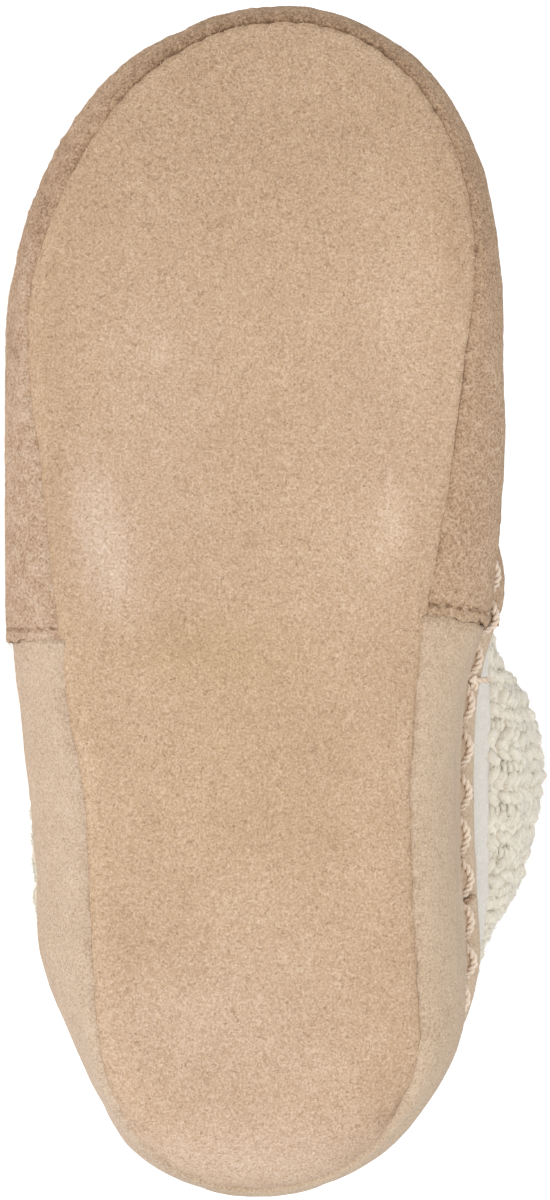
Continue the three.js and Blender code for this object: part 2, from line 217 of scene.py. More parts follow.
def unit(v):
    return v / np.maximum(np.linalg.norm(v, axis=-1, keepdims=True), 1e-12)


def outward(line, turn):
    step = 1e-3
    d = line(turn + step) - line(turn - step)
    return unit(np.stack([-d[..., 1], d[..., 0], np.zeros_like(d[..., 0])], axis=-1))


# The shoe's outer surface: share 0 at the sole seam, 1 at the widest line, 2 at the topline
def skin(turn, share):
    turn, share = np.broadcast_arrays(np.asarray(turn, float), np.asarray(share, float))
    seam, side, top, x = seam_line(turn), side_line(turn), top_line(turn), along_side(turn)
    angle = np.clip(share, 0, 1) * math.pi / 2
    low = seam + (side - seam) * np.sin(angle)[..., None]
    low[..., 2] = seam[..., 2] + (side[..., 2] - seam[..., 2]) * (1 - np.cos(angle))
    v = np.clip(share - 1, 0, 1)
    w = 1 - v
    height = top[..., 2] - side[..., 2]
    high = side + (top - side) * (3 * w * v * v * (1 - rib("shoulder", x)) + v ** 3)[..., None]
    high[..., 2] = (w ** 3 * side[..., 2] + 3 * w * w * v * (side[..., 2] + rib("rise", x) * height)
                    + 3 * w * v * v * (top[..., 2] - rib("drop", x) * height) + v ** 3 * top[..., 2])
    return np.where((share <= 1)[..., None], low, high)


def skin_frame(turn, share):
    step = 2e-3
    rise = unit(skin(turn, np.minimum(share + step, 2)) - skin(turn, np.maximum(share - step, 0)))
    around = skin(turn + step, share) - skin(turn - step, share)
    return rise, unit(np.cross(rise, around))


FLOOR_NORMAL = np.array([0, math.cos(FLOOR_LEAN), -math.sin(FLOOR_LEAN)])
FLOOR_AT = np.array([0, -FLOOR_OFF, FLOOR_UP])


# Points under the floor, or nearer to it than their layer's inset, are pushed up to it
def pressed(p, inset):
    height = (p - FLOOR_AT) @ FLOOR_NORMAL
    return p + np.maximum(inset - height, 0)[..., None] * FLOOR_NORMAL


# The row's frame: the shoe lies on its outer side, toe towards -x
LAY = np.array([(-1, 0, 0), (0, math.sin(FLOOR_LEAN), math.cos(FLOOR_LEAN)), FLOOR_NORMAL])
ground = next(m for m in frame["record"]["mounts"] if m["name"] == "ground_face")
ground_normal = LAY @ np.array([0, 0, -1.0])
laid_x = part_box("vamp")[0].x * 1000 + TOE
laid_z = -float((LAY @ FLOOR_AT)[2])
ground_far = float(ground_normal @ np.array(ground["pos_m"])) * 1000
laid_y = (ground_far - ground_normal[2] * laid_z) / ground_normal[1]
LAID_AT = np.array([laid_x, laid_y, laid_z])


def laid(p):
    return (p @ LAY.T + LAID_AT) / 1000


# Seeded lumps between -1 and 1 for naps, dents and fleece
def lumps(p, size, seed):
    q = p / size
    cell = np.floor(q).astype(np.int64)
    f = q - cell
    f = f * f * (3 - 2 * f)
    total = np.zeros(p.shape[:-1])
    for corner in np.ndindex(2, 2, 2):
        k = cell + np.array(corner)
        h = (k[..., 0] * 73856093) ^ (k[..., 1] * 19349663) ^ (k[..., 2] * 83492791) ^ (seed * 40503)
        h = (h ^ (h >> 13)) * 1274126177 & 0x7FFFFFFF
        value = ((h ^ (h >> 16)) & 0xFFFF) / 65535
        weight = np.prod(np.where(np.array(corner) == 1, f, 1 - f), axis=-1)
        total += value * weight
    return 2 * total - 1


# Meshes from arrays
def crossed(*axes):
    return np.meshgrid(*axes, indexing="ij")


def grid_faces(rows, columns, close_rows=False, close_columns=False):
    i = np.arange(rows if close_rows else rows - 1)
    j = np.arange(columns if close_columns else columns - 1)
    i, j = crossed(i, j)
    i2, j2 = (i + 1) % rows, (j + 1) % columns
    quads = np.stack([i * columns + j, i * columns + j2, i2 * columns + j2, i2 * columns + j], axis=-1)
    return quads.reshape(-1, 4)


# Faces of rows that close both round the shoe and round their own ring
def ring_faces(points):
    return grid_faces(*points.shape[:2], close_rows=True, close_columns=True)[:, ::-1]


# Rings joined into one surface, with its faces and normals
def stacked(rings):
    points = np.vstack(rings)
    quads = grid_faces(len(rings), len(rings[0]), close_columns=True)
    return points, quads, normals_of(points, quads)


def normals_of(points, quads):
    a, b, c, d = (points[quads[:, k]] for k in range(4))
    n = np.cross(c - a, d - b)
    total = np.zeros_like(points)
    for k in range(4):
        np.add.at(total, quads[:, k], n)
    return unit(total)


def placed(name, data):
    made = bpy.data.objects.new(name, data)
    bpy.context.scene.collection.objects.link(made)
    return made


# Points nearer than this, in metres, become one where asked; thin things keep this far, in mm, off the floor
SAME_POINT = 1e-6
NEAR_FLOOR = 0.05


def object_from(name, points, faces, material, tone=None, merge=0.0, warm=None):
    mesh = bpy.data.meshes.new(name)
    points = laid(np.asarray(points, float))
    mesh.vertices.add(len(points))
    mesh.vertices.foreach_set("co", points.astype(np.float32).ravel())
    sizes = np.concatenate([np.full(len(f), f.shape[1]) for f in faces])
    index = np.concatenate([f.ravel() for f in faces])
    mesh.loops.add(len(index))
    mesh.loops.foreach_set("vertex_index", index.astype(np.int32))
    mesh.polygons.add(len(sizes))
    mesh.polygons.foreach_set("loop_start", (np.cumsum(sizes) - sizes).astype(np.int32))
    mesh.update(calc_edges=True)
    mesh.validate()
    mesh.shade_smooth()
    for paint, values in (("tone", tone), ("warm", warm)):
        if values is not None:
            layer_of = mesh.attributes.new(paint, "FLOAT", "POINT")
            layer_of.data.foreach_set("value", np.asarray(values, np.float32).ravel())
    mesh.materials.append(material)
    made = placed(name, mesh)
    if merge:
        bm = bmesh.new()
        bm.from_mesh(mesh)
        bmesh.ops.remove_doubles(bm, verts=bm.verts, dist=merge)
        bm.to_mesh(mesh)
        bm.free()
    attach(made, "root")
    return made


# Two directions square to paths and to each other, the first by the hints
def beside(paths, hints):
    along = unit(np.gradient(paths, axis=1))
    across = unit(hints - np.sum(hints * along, axis=-1, keepdims=True) * along)
    return across, np.cross(along, across)


# Tubes along many paths at once, as one piece: paths and hints across them (k, n, 3), the rest (k, n).
# An oval tube whose phase turns along it looks like two plies twisted together.
def make_tubes(name, paths, radii, hints, sides, material, tone, oval=0.0, phase=0.0):
    count, steps, _ = paths.shape
    radii, tone, phase = (np.broadcast_to(v, (count, steps)) for v in (radii, tone, phase))
    across, other = beside(paths, hints)
    angle = np.arange(sides) * TAU / sides
    ring = across[:, :, None] * np.cos(angle)[:, None] + other[:, :, None] * np.sin(angle)[:, None]
    reach = radii[..., None] * (1 + oval * np.cos(2 * (angle - phase[..., None])))
    points = (paths[:, :, None] + ring * reach[..., None]).reshape(-1, 3)
    start = (np.arange(count) * steps * sides)[:, None, None]
    quads = (grid_faces(steps, sides, close_columns=True)[None] + start).reshape(-1, 4)
    first = np.arange(sides)[None] + start[:, 0]
    last = (steps - 1) * sides + np.arange(sides)[::-1][None] + start[:, 0]
    faces = [quads[:, ::-1], np.vstack([first, last])]
    return object_from(name, pressed(points, NEAR_FLOOR), faces, material, np.repeat(tone.ravel(), sides))


FIBRE_POINTS = 5
NAP_TOE = (190, 245)


# Fibres on a surface, each a bent ribbon that tapers to its tip: size and half are the ranges of
# length and half breadth, lean and lift say how a fibre runs along the surface and away from it
def fibres(rng, at, normal, size, curl, half, middle, lean, lift):
    one_each = (len(at), 1)
    aside = unit(np.cross(normal, rng.normal(size=at.shape)))
    bend = np.cross(normal, aside)
    size = rng.uniform(*size, one_each)
    curl = rng.normal(0, curl, one_each)
    half = rng.uniform(*half, one_each)
    rows = []
    for t, taper in ((0, 1), (0, -1), (middle, 0.9), (middle, -0.9), (1, 0)):
        way = aside * (lean * t) + bend * curl * t * t + normal * lift(t)
        rows.append(at + way * size + bend * half * taper)
    start = FIBRE_POINTS * np.arange(len(at))[:, None]
    faces = [start + np.array([0, 1, 3, 2]), start + np.array([2, 3, 4])]
    return np.stack(rows, axis=1).reshape(-1, 3), faces


# Nap: short fibres spread over the faces of a surface, denser by the toe if asked
def make_nap(name, points, quads, tone, count, seed, material, length, rise,
             thick=0.058, spread=0.62, denser=1.0):
    rng = np.random.default_rng(seed)
    a, b, c, d = (points[quads[:, k]] for k in range(4))
    facing = np.cross(c - a, d - b)
    chance = np.linalg.norm(facing, axis=1) * (1 + (denser - 1) * ease(*NAP_TOE, a[:, 0]))
    pick = rng.choice(len(quads), count, p=chance / chance.sum())
    u, v = rng.random((2, count, 1))
    at = (a[pick] * (1 - u) + b[pick] * u) * (1 - v) + (d[pick] * (1 - u) + c[pick] * u) * v
    nap, faces = fibres(rng, at, unit(facing[pick]), (0.6 * length, 1.4 * length), 0.45,
                        (0.7 * thick, 1.3 * thick), 0.55, 1, lambda t: rise * t * (1.7 - t) - 0.03)
    tones = np.repeat(tone[quads[pick, 0]] + rng.normal(0.08, spread, count), FIBRE_POINTS)
    piece = object_from(name, pressed(nap, 0.03), faces, material, tones)


# Length along lines of points, from the first point of each
def lengths(p):
    step = np.linalg.norm(np.diff(p, axis=-2), axis=-1)
    return np.concatenate([np.zeros_like(step[..., :1]), np.cumsum(step, axis=-1)], axis=-1)


# Turns evenly spaced along a line, closer together by both ends if asked
def even_turns(line, start, end, count, ring=False, dense=0.0):
    fine = np.linspace(start, end, 4001)
    length = lengths(line(fine))
    places = np.linspace(0, length[-1], count, endpoint=not ring)
    if dense:
        near = np.arange(0, dense, 0.3)
        middle = places[(places > dense + 0.2) & (places < length[-1] - dense - 0.2)]
        places = np.concatenate([near, middle, length[-1] - near[::-1]])
    return np.interp(places, length, fine)


# Turns evenly spaced round the sole seam, the same on both sides
def seam_turns(count):
    half = even_turns(seam_line, 0, math.pi, count)
    return np.concatenate([half[:-1], TAU - half[:0:-1]])


FINE = np.linspace(0, TAU, 8001)


def arc_table(line):
    return lengths(line(FINE))


SEAM_ARC = arc_table(seam_line)
TOP_ARC = arc_table(top_line)
EDGE_INNER = turn_at(VAMP_BACK_INNER)
EDGE_OUTER = TAU - turn_at(VAMP_BACK_OUTER)

# Materials
NOISE_ROUGHNESS = 0.6
TONE_SHARE = 0.5
BUMP_DISTANCE = 0.001
SUEDE_GRAIN = 3.0
WARMTH_SHARES = (("Y", -0.01), ("Z", -0.06))
NAP_SHADING = {"Specular IOR Level": 0.15, "Sheen Roughness": 0.5}


def filled(node, values):
    for name, value in values.items():
        node.inputs[name].default_value = value


def nodes_for(name):
    material = bpy.data.materials.new(name)
    material.use_nodes = True
    tree = material.node_tree
    return material, tree, tree.nodes["Principled BSDF"]


def math_node(tree, operation, *values):
    node = tree.nodes.new("ShaderNodeMath")
    node.operation = operation
    for socket, value in zip(node.inputs, values):
        if isinstance(value, (int, float)):
            socket.default_value = value
        else:
            tree.links.new(value, socket)
    return node.outputs[0]


def noise(tree, scale, detail):
    node = tree.nodes.new("ShaderNodeTexNoise")
    filled(node, {"Scale": scale, "Detail": detail, "Roughness": NOISE_ROUGHNESS})
    place = tree.nodes.new("ShaderNodeTexCoord")
    tree.links.new(place.outputs["Object"], node.inputs["Vector"])
    return node.outputs["Fac"]


def painted(tree, name):
    node = tree.nodes.new("ShaderNodeAttribute")
    node.attribute_name = name
    return node.outputs["Fac"]


# The painted warmth of the mesh and a fine noise take blue out of a colour or leave more in
def tinted(tree, colour, grain):
    fine = math_node(tree, "SUBTRACT", noise(tree, 1700, 2), 0.5)
    level = math_node(tree, "MULTIPLY_ADD", fine, grain, painted(tree, "warm"))
    tint = tree.nodes.new("ShaderNodeCombineXYZ")
    tint.inputs["X"].default_value = 1
    for channel, share in WARMTH_SHARES:
        tree.links.new(math_node(tree, "MULTIPLY_ADD", level, share, 1), tint.inputs[channel])
    node = tree.nodes.new("ShaderNodeVectorMath")
    node.operation = "MULTIPLY"
    tree.links.new(colour, node.inputs[0])
    tree.links.new(tint.outputs[0], node.inputs[1])
    return node.outputs[0]


# Colour between a dark, a middle and a pale tone, moved by the painted tone of the mesh and by
# noises, of which each part gives scale, detail, weight in the colour and height in the bump
def napped(name, dark, middle, pale, parts, bump, sheen, roughness=0.95, grain=0.0):
    material, tree, shader = nodes_for(name)
    level, heights = 0.5, 0.0
    for scale, detail, weight, height in parts:
        value = noise(tree, scale, detail)
        level = math_node(tree, "MULTIPLY_ADD", math_node(tree, "SUBTRACT", value, 0.5), weight, level)
        if height:
            heights = math_node(tree, "MULTIPLY_ADD", value, height, heights)
    level = math_node(tree, "MULTIPLY_ADD", painted(tree, "tone"), TONE_SHARE, level)
    ramp = tree.nodes.new("ShaderNodeValToRGB")
    ramp.color_ramp.elements[0].color = (*dark, 1)
    ramp.color_ramp.elements[1].color = (*pale, 1)
    ramp.color_ramp.elements.new(0.5).color = (*middle, 1)
    tree.links.new(level, ramp.inputs["Fac"])
    colour = tinted(tree, ramp.outputs["Color"], grain) if grain else ramp.outputs["Color"]
    tree.links.new(colour, shader.inputs["Base Color"])
    lifted = tree.nodes.new("ShaderNodeBump")
    filled(lifted, {"Strength": bump, "Distance": BUMP_DISTANCE})
    tree.links.new(heights, lifted.inputs["Height"])
    tree.links.new(lifted.outputs["Normal"], shader.inputs["Normal"])
    filled(shader, {"Roughness": roughness, "Sheen Weight": sheen, **NAP_SHADING})
    return material


SOLE_SUEDE = napped("sole_suede", (0.32, 0.207, 0.123), (0.513, 0.356, 0.231), (0.735, 0.585, 0.44),
                    ((28, 3, 0.3, 0), (160, 3, 0.14, 0.1), (900, 2, 0.25, 0.3), (2100, 2, 1.3, 0.7)),
                    bump=0.4, sheen=0.08, grain=SUEDE_GRAIN)
VAMP_SUEDE = napped("vamp_suede", (0.22, 0.134, 0.078), (0.474, 0.315, 0.2), (0.67, 0.517, 0.376),
                    ((30, 3, 0.25, 0), (330, 3, 0.16, 0.4), (800, 3, 0.6, 0.65), (1900, 2, 1.6, 0.85)),
                    bump=0.75, sheen=0.05, grain=SUEDE_GRAIN)
QUARTER_SUEDE = napped("quarter_suede", (0.295, 0.2, 0.124), (0.545, 0.412, 0.293), (0.7, 0.575, 0.445),
                       ((28, 3, 0.3, 0), (160, 3, 0.14, 0.1), (900, 2, 0.25, 0.25), (2200, 2, 1.3, 0.6)),
                       bump=0.35, sheen=0.12, grain=SUEDE_GRAIN)
WHITE_FELT = napped("white_felt", (0.57, 0.54, 0.487), (0.708, 0.676, 0.62), (0.805, 0.78, 0.735),
                    ((60, 3, 0.2, 0), (500, 3, 0.4, 0.5), (2300, 2, 0.7, 0.6)), bump=0.55, sheen=0.2)
CREAM_KNIT = napped("cream_knit", (0.6, 0.545, 0.455), (0.79, 0.737, 0.628), (0.89, 0.853, 0.76),
                    ((60, 3, 0.25, 0), (700, 3, 0.3, 0.4), (2600, 3, 0.5, 0.6)), bump=0.4, sheen=0.3)
FLEECE = napped("fleece", (0.5, 0.44, 0.35), (0.8, 0.75, 0.65), (0.9, 0.87, 0.79),
                ((80, 3, 0.3, 0), (450, 3, 0.4, 0.6), (1500, 3, 0.4, 0.6)), bump=0.6, sheen=0.3)
CORD = napped("cord", (0.38, 0.25, 0.16), (0.84, 0.71, 0.58), (0.95, 0.89, 0.8),
              ((200, 2, 0.3, 0), (1800, 2, 0.5, 0.4)), bump=0.3, sheen=0.1, roughness=0.6)


# Sole
SEAM_PITCH = 5.3
EDGE_SOFT = 1.3
GROOVE_MOST = 1.3
EDGE_RINGS, FACE_RINGS = 15, 22


# Small gathers along the sole seam, stitch by stitch: wave and depth
def pinches(turn):
    at = seam_line(turn)
    arc = np.interp(turn % TAU, FINE, SEAM_ARC) + 1.3 * lumps(at, 13, 62)
    count = round(SEAM_ARC[-1] / SEAM_PITCH)
    wave = (0.5 + 0.5 * np.cos(arc / SEAM_ARC[-1] * TAU * count)) ** 3
    depth = 0.1 + 0.2 * ease(215, 248, at[..., 0])
    return wave * (0.7 + 0.5 * lumps(at, 8, 63)), depth


# The seam strays a little from its line
def strays(turn):
    at = seam_line(turn)
    return 0.18 * lumps(at, 3.6, 65) + 0.1 * lumps(at, 2.1, 66)


# How clearly the sole seam shows, in its groove and in its painted shade and highlight: place along the shoe,
# inner side, outer side
SEAM_SHOWS = np.array([
    (0, 0, 0), (18, 0.02, 0.05), (32, 0.35, 0.4), (50, 0.75, 0.7), (100, 1, 0.6), (125, 0.5, 0.2),
    (150, 0.5, 0.15), (175, 0.9, 0.2), (200, 1, 0.25), (228, 0.8, 0.5), (245, 1.3, 1.3), (256, 1.5, 1.5),
])


def seam_shows(turn):
    at = seam_line(turn)
    uneven = np.clip(1 + 0.4 * lumps(at, 7, 61) + 0.8 * lumps(at, 2.3, 64), 0, 1.6)
    return by_side(SEAM_SHOWS, at[..., 0], turn) * uneven


def in_from_seam(turn, inward):
    p = seam_line(turn)
    return p - outward(seam_line, turn) * inward[..., None]


def sole_top(turn, inward):
    x = seam_line(turn)[..., 0]
    level = SOLE_THICK + spring(in_from_seam(turn, inward)[..., 0])
    lip = seam_up(turn, x) - spring(x) - EDGE_UP
    share = np.clip(1 - inward / edge_run(turn, x), 0, 1)
    return level + lip * (1 - np.sqrt(1 - share * share))


# A ring on the sole's top, so far in from the seam, and further in and up where asked
def over_sole(turn, inward, further=0.0, lift=0.0):
    ring = in_from_seam(turn, inward + further)
    ring[:, 2] = sole_top(turn, inward) + lift
    return ring


MEDIAL_HEEL, MEDIAL_TOE = 40.0, 206.0


# Points between a ring and the sole's middle line
def to_middle(ring, share):
    x = MEDIAL_HEEL + (MEDIAL_TOE - MEDIAL_HEEL) * (ring[:, 0] - ring[:, 0].min()) / np.ptp(ring[:, 0])
    middle = np.stack([x, rib("seam_mid", x), ring[:, 2]], axis=-1)
    return ring + (middle - ring) * share


# Worn or pale places on the ground face, with painted shade where the sole's edge rounds off by the inner toe
# and painted light on the heel's rounded edge: along, across, reach along, reach across, lean, strength
WORN_AND_PAINTED_LIGHT = (
    (139, -33, 17, 5.2, -0.25, 0.5), (158, -43.5, 34, 3.5, 0, -0.14), (143, 27.3, 10, 3.6, 0.1, 0.34),
    (181, -21.4, 3.5, 2.5, 0, 0.25), (26.5, 14.6, 6, 10, 0.5, 0.16), (50, -4, 9, 14, 0, 0.08),
    (12, 0, 7, 20, 0, 0.1), (196, 30, 12, 6, 0.2, 0.12), (60, -18, 18, 8, 0, -0.1),
    (95, 12, 30, 12, 0.1, -0.07), (172, -4, 24, 14, 0, -0.05), (204, 41, 13, 4.5, -0.15, -0.28),
    (119, -14, 7, 20, 0, -0.2), (41, -17, 12, 16, 0, 0.16), (8, -10, 9, 20, 0, 0.26),
    (22, 26, 8, 6, 0, -0.2),
)

# Greyer (-) and more orange (+) places on the ground face, in the same columns
WARMTH = (
    (117, -12, 8, 22, 0, 1.0), (90, -8, 20, 26, 0, 0.5), (165, -22, 42, 14, 0, -0.6),
    (141, -35, 17, 7, -0.2, -1.5), (165, 28, 32, 12, 0, -0.65), (36, -8, 20, 34, 0, -0.9),
    (8, 0, 12, 40, 0, -1.2),
)
OUTER_WARMTH = -0.9

# Crinkles in the sole's edge by the heel, in the same columns, with their height as strength
CRINKLES = (
    (17, 27, 3.4, 0.75, 0.75, -0.4), (14.4, 24.6, 3, 0.65, 0.95, 0.3), (20, 29.4, 3, 0.65, 0.55, -0.35),
    (22.6, 30.6, 2.6, 0.6, 0.7, -0.3), (18.6, 25.6, 2.2, 0.6, 0.3, -0.25), (12.2, 21.5, 2.6, 0.6, 1.0, -0.25),
)


def patches(p, table):
    total = np.zeros(p.shape[:-1])
    for along, across, reach, wide, lean, strength in table:
        u, v = p[..., 0] - along, p[..., 1] - across
        c, s = math.cos(lean), math.sin(lean)
        total += strength * bell(u * c + v * s, reach) * bell(v * c - u * s, wide)
    return total


def make_outsole():
    turn = seam_turns(421)
    x = seam_line(turn)[:, 0]
    wave, depth = pinches(turn)
    shows, stray, run = seam_shows(turn), strays(turn), edge_run(turn, x)
    roll = seam_up(turn, x) - spring(x) + SOLE_LIP - EDGE_UP
    soft = np.sqrt(1 - (EDGE_SOFT / roll) ** 2)
    plain = np.zeros(len(turn))
    rings = []
    for share in (1, 0.6, 0.25, 0):
        ring = over_sole(turn, GAP + run * share)
        if not rings:
            rings += [to_middle(ring, k) for k in (1, 0.6, 0.3)]
        rings.append(ring)
    hidden = len(rings)
    tones = [plain] * hidden
    for angle in np.linspace(math.pi / 2, 0, EDGE_RINGS):
        far = run * (1 - math.sin(angle))
        ring = in_from_seam(turn, GAP + far + (depth * wave + stray) * bell(far, 2.2))
        groove = 0.13 * np.minimum(shows, GROOVE_MOST) * bell(far, 0.6)
        ring[:, 2] = spring(ring[:, 0]) + roll * (1 - np.sqrt(1 - (soft * math.sin(angle)) ** 2)) + groove
        rings.append(ring)
        # Painted shade in the seam's groove and in its gathers, and a painted highlight on the ridge just
        # beside the seam
        dark = 0.13 * bell(far, 0.45) + 0.2 * wave * bell(far, 0.8)
        tones.append(shows * (0.1 * bell(far - 1.9, 1.3) - dark))
    edge = rings[-1]
    for k in range(1, FACE_RINGS + 1):
        ring = to_middle(edge, k / FACE_RINGS)
        ring[:, 2] = spring(ring[:, 0])
        rings.append(ring)
        tones.append(plain)
    points, quads, normal = stacked(rings)
    below = ease(0, 3, SOLE_THICK - points[:, 2] + spring(points[:, 0]) + CUP_UP * cup(points[:, 0]))
    dents = 0.28 * lumps(points, 26, 3) + 0.14 * lumps(points, 9, 4)
    nap = 0.07 * lumps(points, 2.6, 5) + 0.06 * lumps(points, 1.3, 6)
    crinkles = patches(points, CRINKLES)
    points = points + normal * (below * (dents + nap + crinkles))[:, None]
    # Painted shade in the dents of the crinkles by the heel, on top of the worn places and painted light
    tone = np.concatenate(tones) + patches(points, WORN_AND_PAINTED_LIGHT) + 0.7 * np.minimum(crinkles, 0.1)
    # Painted shade: the sole darker towards the toe, where it curves away from the light
    tone = tone - 0.12 * ease(170, 250, points[:, 0])
    make_nap("sole_nap", points, quads[hidden * len(turn):], tone, 22500, 71, SOLE_SUEDE,
             length=0.8, rise=0.3, denser=2.5)
    piece = object_from("outsole", points, [quads], SOLE_SUEDE, tone, SAME_POINT, patches(points, WARMTH))
    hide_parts("outsole")


# The insole's rings from its underside round its edge to its top: share of the edge's run, further in, lift
INSOLE_EDGE = 0.3
INSOLE_RINGS = (
    (1, 0, 0), (0.65, 0, 0), (INSOLE_EDGE, 0, 0), (INSOLE_EDGE, 0, 1.2), (INSOLE_EDGE, 0.2, 2.4),
    (INSOLE_EDGE, 0.7, 3.2), (INSOLE_EDGE, 1.6, INSOLE_THICK), (0.55, 1.6, INSOLE_THICK),
    (0.8, 1.6, INSOLE_THICK), (1, 1.6, INSOLE_THICK),
)
INSOLE_FACE_RINGS = 28


def make_insole():
    turn = seam_turns(181)
    run = edge_run(turn, seam_line(turn)[:, 0])
    rings = []
    for share, further, lift in INSOLE_RINGS:
        ring = over_sole(turn, GAP + run * share, further, GAP + lift)
        if not rings:
            rings += [to_middle(ring, k) for k in (1, 0.5)]
        rings.append(ring)
    top = rings[-1]
    rings += [to_middle(top, k / INSOLE_FACE_RINGS) for k in range(1, INSOLE_FACE_RINGS + 1)]
    points, quads, normal = stacked(rings)
    upper_side = ease(0.5, 2.5, points[:, 2] - SOLE_THICK - spring(points[:, 0]))
    pile = 0.4 * lumps(points, 4.4, 11) + 0.3 * lumps(points, 2.7, 12) - 0.15
    points = points + normal * (upper_side * pile)[:, None]
    piece = object_from("insole", points, [quads], FLEECE, 0.6 * pile, SAME_POINT)
    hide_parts("insole")


# Creases on the wall, soft troughs (+) and ridges (-): turn in degrees, share,
# slant from level in degrees, half length, half breadth, depth
CREASES = (
    (180, 1.42, 0, 30, 5.5, 0.9), (180, 1.55, 4, 26, 5, -0.5), (176, 1.3, -6, 22, 4.5, 0.5),
    (140, 1.25, 28, 16, 4, 0.6), (220, 1.28, -26, 16, 4, 0.6), (150, 1.5, 20, 14, 4, -0.4),
    (118, 0.7, 70, 7, 2.6, 0.15), (132, 0.6, 80, 6, 2.4, 0.12), (226, 0.62, 100, 6, 2.4, 0.12),
    (244, 0.7, 105, 7, 2.6, 0.15), (160, 0.55, 88, 6, 2.2, 0.12), (200, 0.55, 92, 6, 2.2, 0.12),
    (30, 0.35, 35, 5, 1.3, 0.5), (33, 0.25, 40, 4, 1.1, -0.35), (27, 0.3, 30, 4, 1.1, 0.4),
    (60, 1.35, 8, 15, 4, 0.5), (22, 1.4, -12, 12, 4, 0.55), (338, 1.4, 12, 12, 4, 0.55),
    (300, 1.35, -8, 16, 4, 0.45), (0, 1.25, 0, 15, 5, 0.6), (75, 0.75, 80, 7, 2.5, 0.3),
    (12, 0.8, 60, 7, 2.2, 0.2), (350, 0.8, 115, 7, 2.2, 0.2),
)
CREASE_THROUGH = 18.0


def creased(p):
    total = np.zeros(p.shape[:-1])
    for turn, share, slant, length, breadth, depth in CREASES:
        turn, share, slant = np.radians([turn]), np.array([share]), math.radians(slant)
        rise, normal = (v[0] for v in skin_frame(turn, share))
        line = np.cross(normal, rise) * math.cos(slant) + rise * math.sin(slant)
        d = p - skin(turn, share)[0]
        along, across = bell(d @ line, length), bell(d @ np.cross(normal, line), breadth)
        total -= depth * along * across * bell(d @ normal, CREASE_THROUGH)
    return total


# Small fullness (+) and hollows (-) at the widest line: place along the side, inner side, outer side
TRIM = np.array([
    (-2, 0.4, 0.4), (10, 0.5, 0.4), (18, -0.1, -1), (27, 0.1, -0.9), (35, 0.3, -0.5), (44, 0.1, 0.5),
    (52, 0.2, 0.9), (60, 0, 0.5), (69, 0, -0.1), (77, 0, 0.4), (94, 0, 0.9), (103, 0, 0.6), (115, 0, 0.4),
    (124, 0, 0), (145, 0.3, 0), (160, 0.2, 0), (187, -0.2, -0.3), (200, -0.6, -0.7), (210, -0.4, -0.5),
    (222, 0, -0.2), (234, 0, 0.2), (243, 0.1, 0.5), (247, -0.2, 0.3), (251, -0.7, -0.6), (256, -0.2, -0.2),
])


def trimmed(t, s):
    return by_side(TRIM, along_side(t), t) * bell(s - 1, 0.55)


RIM_TURNS = np.radians((25, 50, 75, 100, 125, 150))
RIM_ROUND = 0.8
OFF_FLOOR = 0.02


# A wall between two insets: outer face, rounded rim, inner face, with the outer face displaced
# and each layer pressed by the floor
def wall(turn, shares, outer, inner, relief, back_shares, slant=lambda t, s: t):
    r = (inner - outer) / 2
    t, s = crossed(turn, shares)
    t = slant(t, s)
    normal = skin_frame(t, s)[1]
    face = skin(t, s) - normal * outer
    lift, tone = relief(t, s, face)
    columns = [face + normal * lift[..., None] + tucked(t, s)]
    edge = np.full_like(turn, 2.0)
    rise, normal = skin_frame(t[:, -1], edge)
    rim = skin(t[:, -1], edge)
    for a in RIM_TURNS:
        p = rim - normal * (outer + r - r * math.cos(a)) + rise * (r * math.sin(a) * RIM_ROUND)
        p = p + normal * (lift[:, -1] * max(math.cos(a), 0))[:, None]
        columns.append(p[:, None])
    t, s = crossed(turn, back_shares)
    t = slant(t, s)
    columns.append(skin(t, s) - skin_frame(t, s)[1] * inner)
    rim_depth = outer + r - r * np.cos(RIM_TURNS)
    depth = np.concatenate([np.full(len(shares), outer), rim_depth, np.full(len(back_shares), inner)])
    points = pressed(np.concatenate(columns, axis=1), depth + OFF_FLOOR)
    tones = np.zeros(points.shape[:2])
    tones[:, :len(shares)] = tone
    tones[:, len(shares):len(shares) + len(RIM_TURNS)] = tone[:, -1:]
    return points, tones


# Shares of a wall's rows, closer together by the seam
def wall_shares(low, high):
    return np.concatenate([np.linspace(0, 1, low)[:-1] ** 1.5, 1 + np.linspace(0, 1, high)])


# By the sole seam the wall swells to meet the sole's edge, with a shallow groove along the seam and
# painted shade in the groove and its gathers, and its edge is tucked in behind the sole's
SEAM_TO_SIDE = 12.0
CREVICE = 0.3
TUCK = 1.1


def from_seam(s):
    return np.clip(s, 0, 1) * SEAM_TO_SIDE


def seam_relief(t, s, step):
    wave, depth = pinches(t)
    far, shows, x = from_seam(s), seam_shows(t), seam_line(t)[..., 0]
    swell = (EDGE_SOFT + 0.1) * (1 - 0.45 * ease(225, 250, x)) + step
    lift = swell * bell(far, 3.2) - 0.15 * np.minimum(shows, GROOVE_MOST) * bell(far, 0.9)
    lift = lift - depth * wave * bell(far, 3.0) - 0.5 * np.clip(shows, 0.05, 1) * bell(far, CREVICE)
    # Painted shade along the seam's groove and in its gathers
    tone = -shows * (0.15 * bell(far, 0.8) + 0.2 * wave * bell(far, 1.3))
    return lift, tone


def tucked(t, s):
    wave, depth = pinches(t)
    far = from_seam(s)
    inward = (GAP + depth * wave + strays(t)) * bell(far, 2.0) + TUCK * bell(far, CREVICE)
    return -outward(seam_line, t) * inward[..., None]


# Stitches along the topline: holes a little under the rim, each stitch from hole to hole
STITCH_PITCH = 9.35
STITCHES = round(TOP_ARC[-1] / STITCH_PITCH)
HOLE_DOWN = 6.0
FIRST_HOLE = 137.0


def topline_turns(arc):
    return np.interp(arc % TOP_ARC[-1], TOP_ARC, FINE)


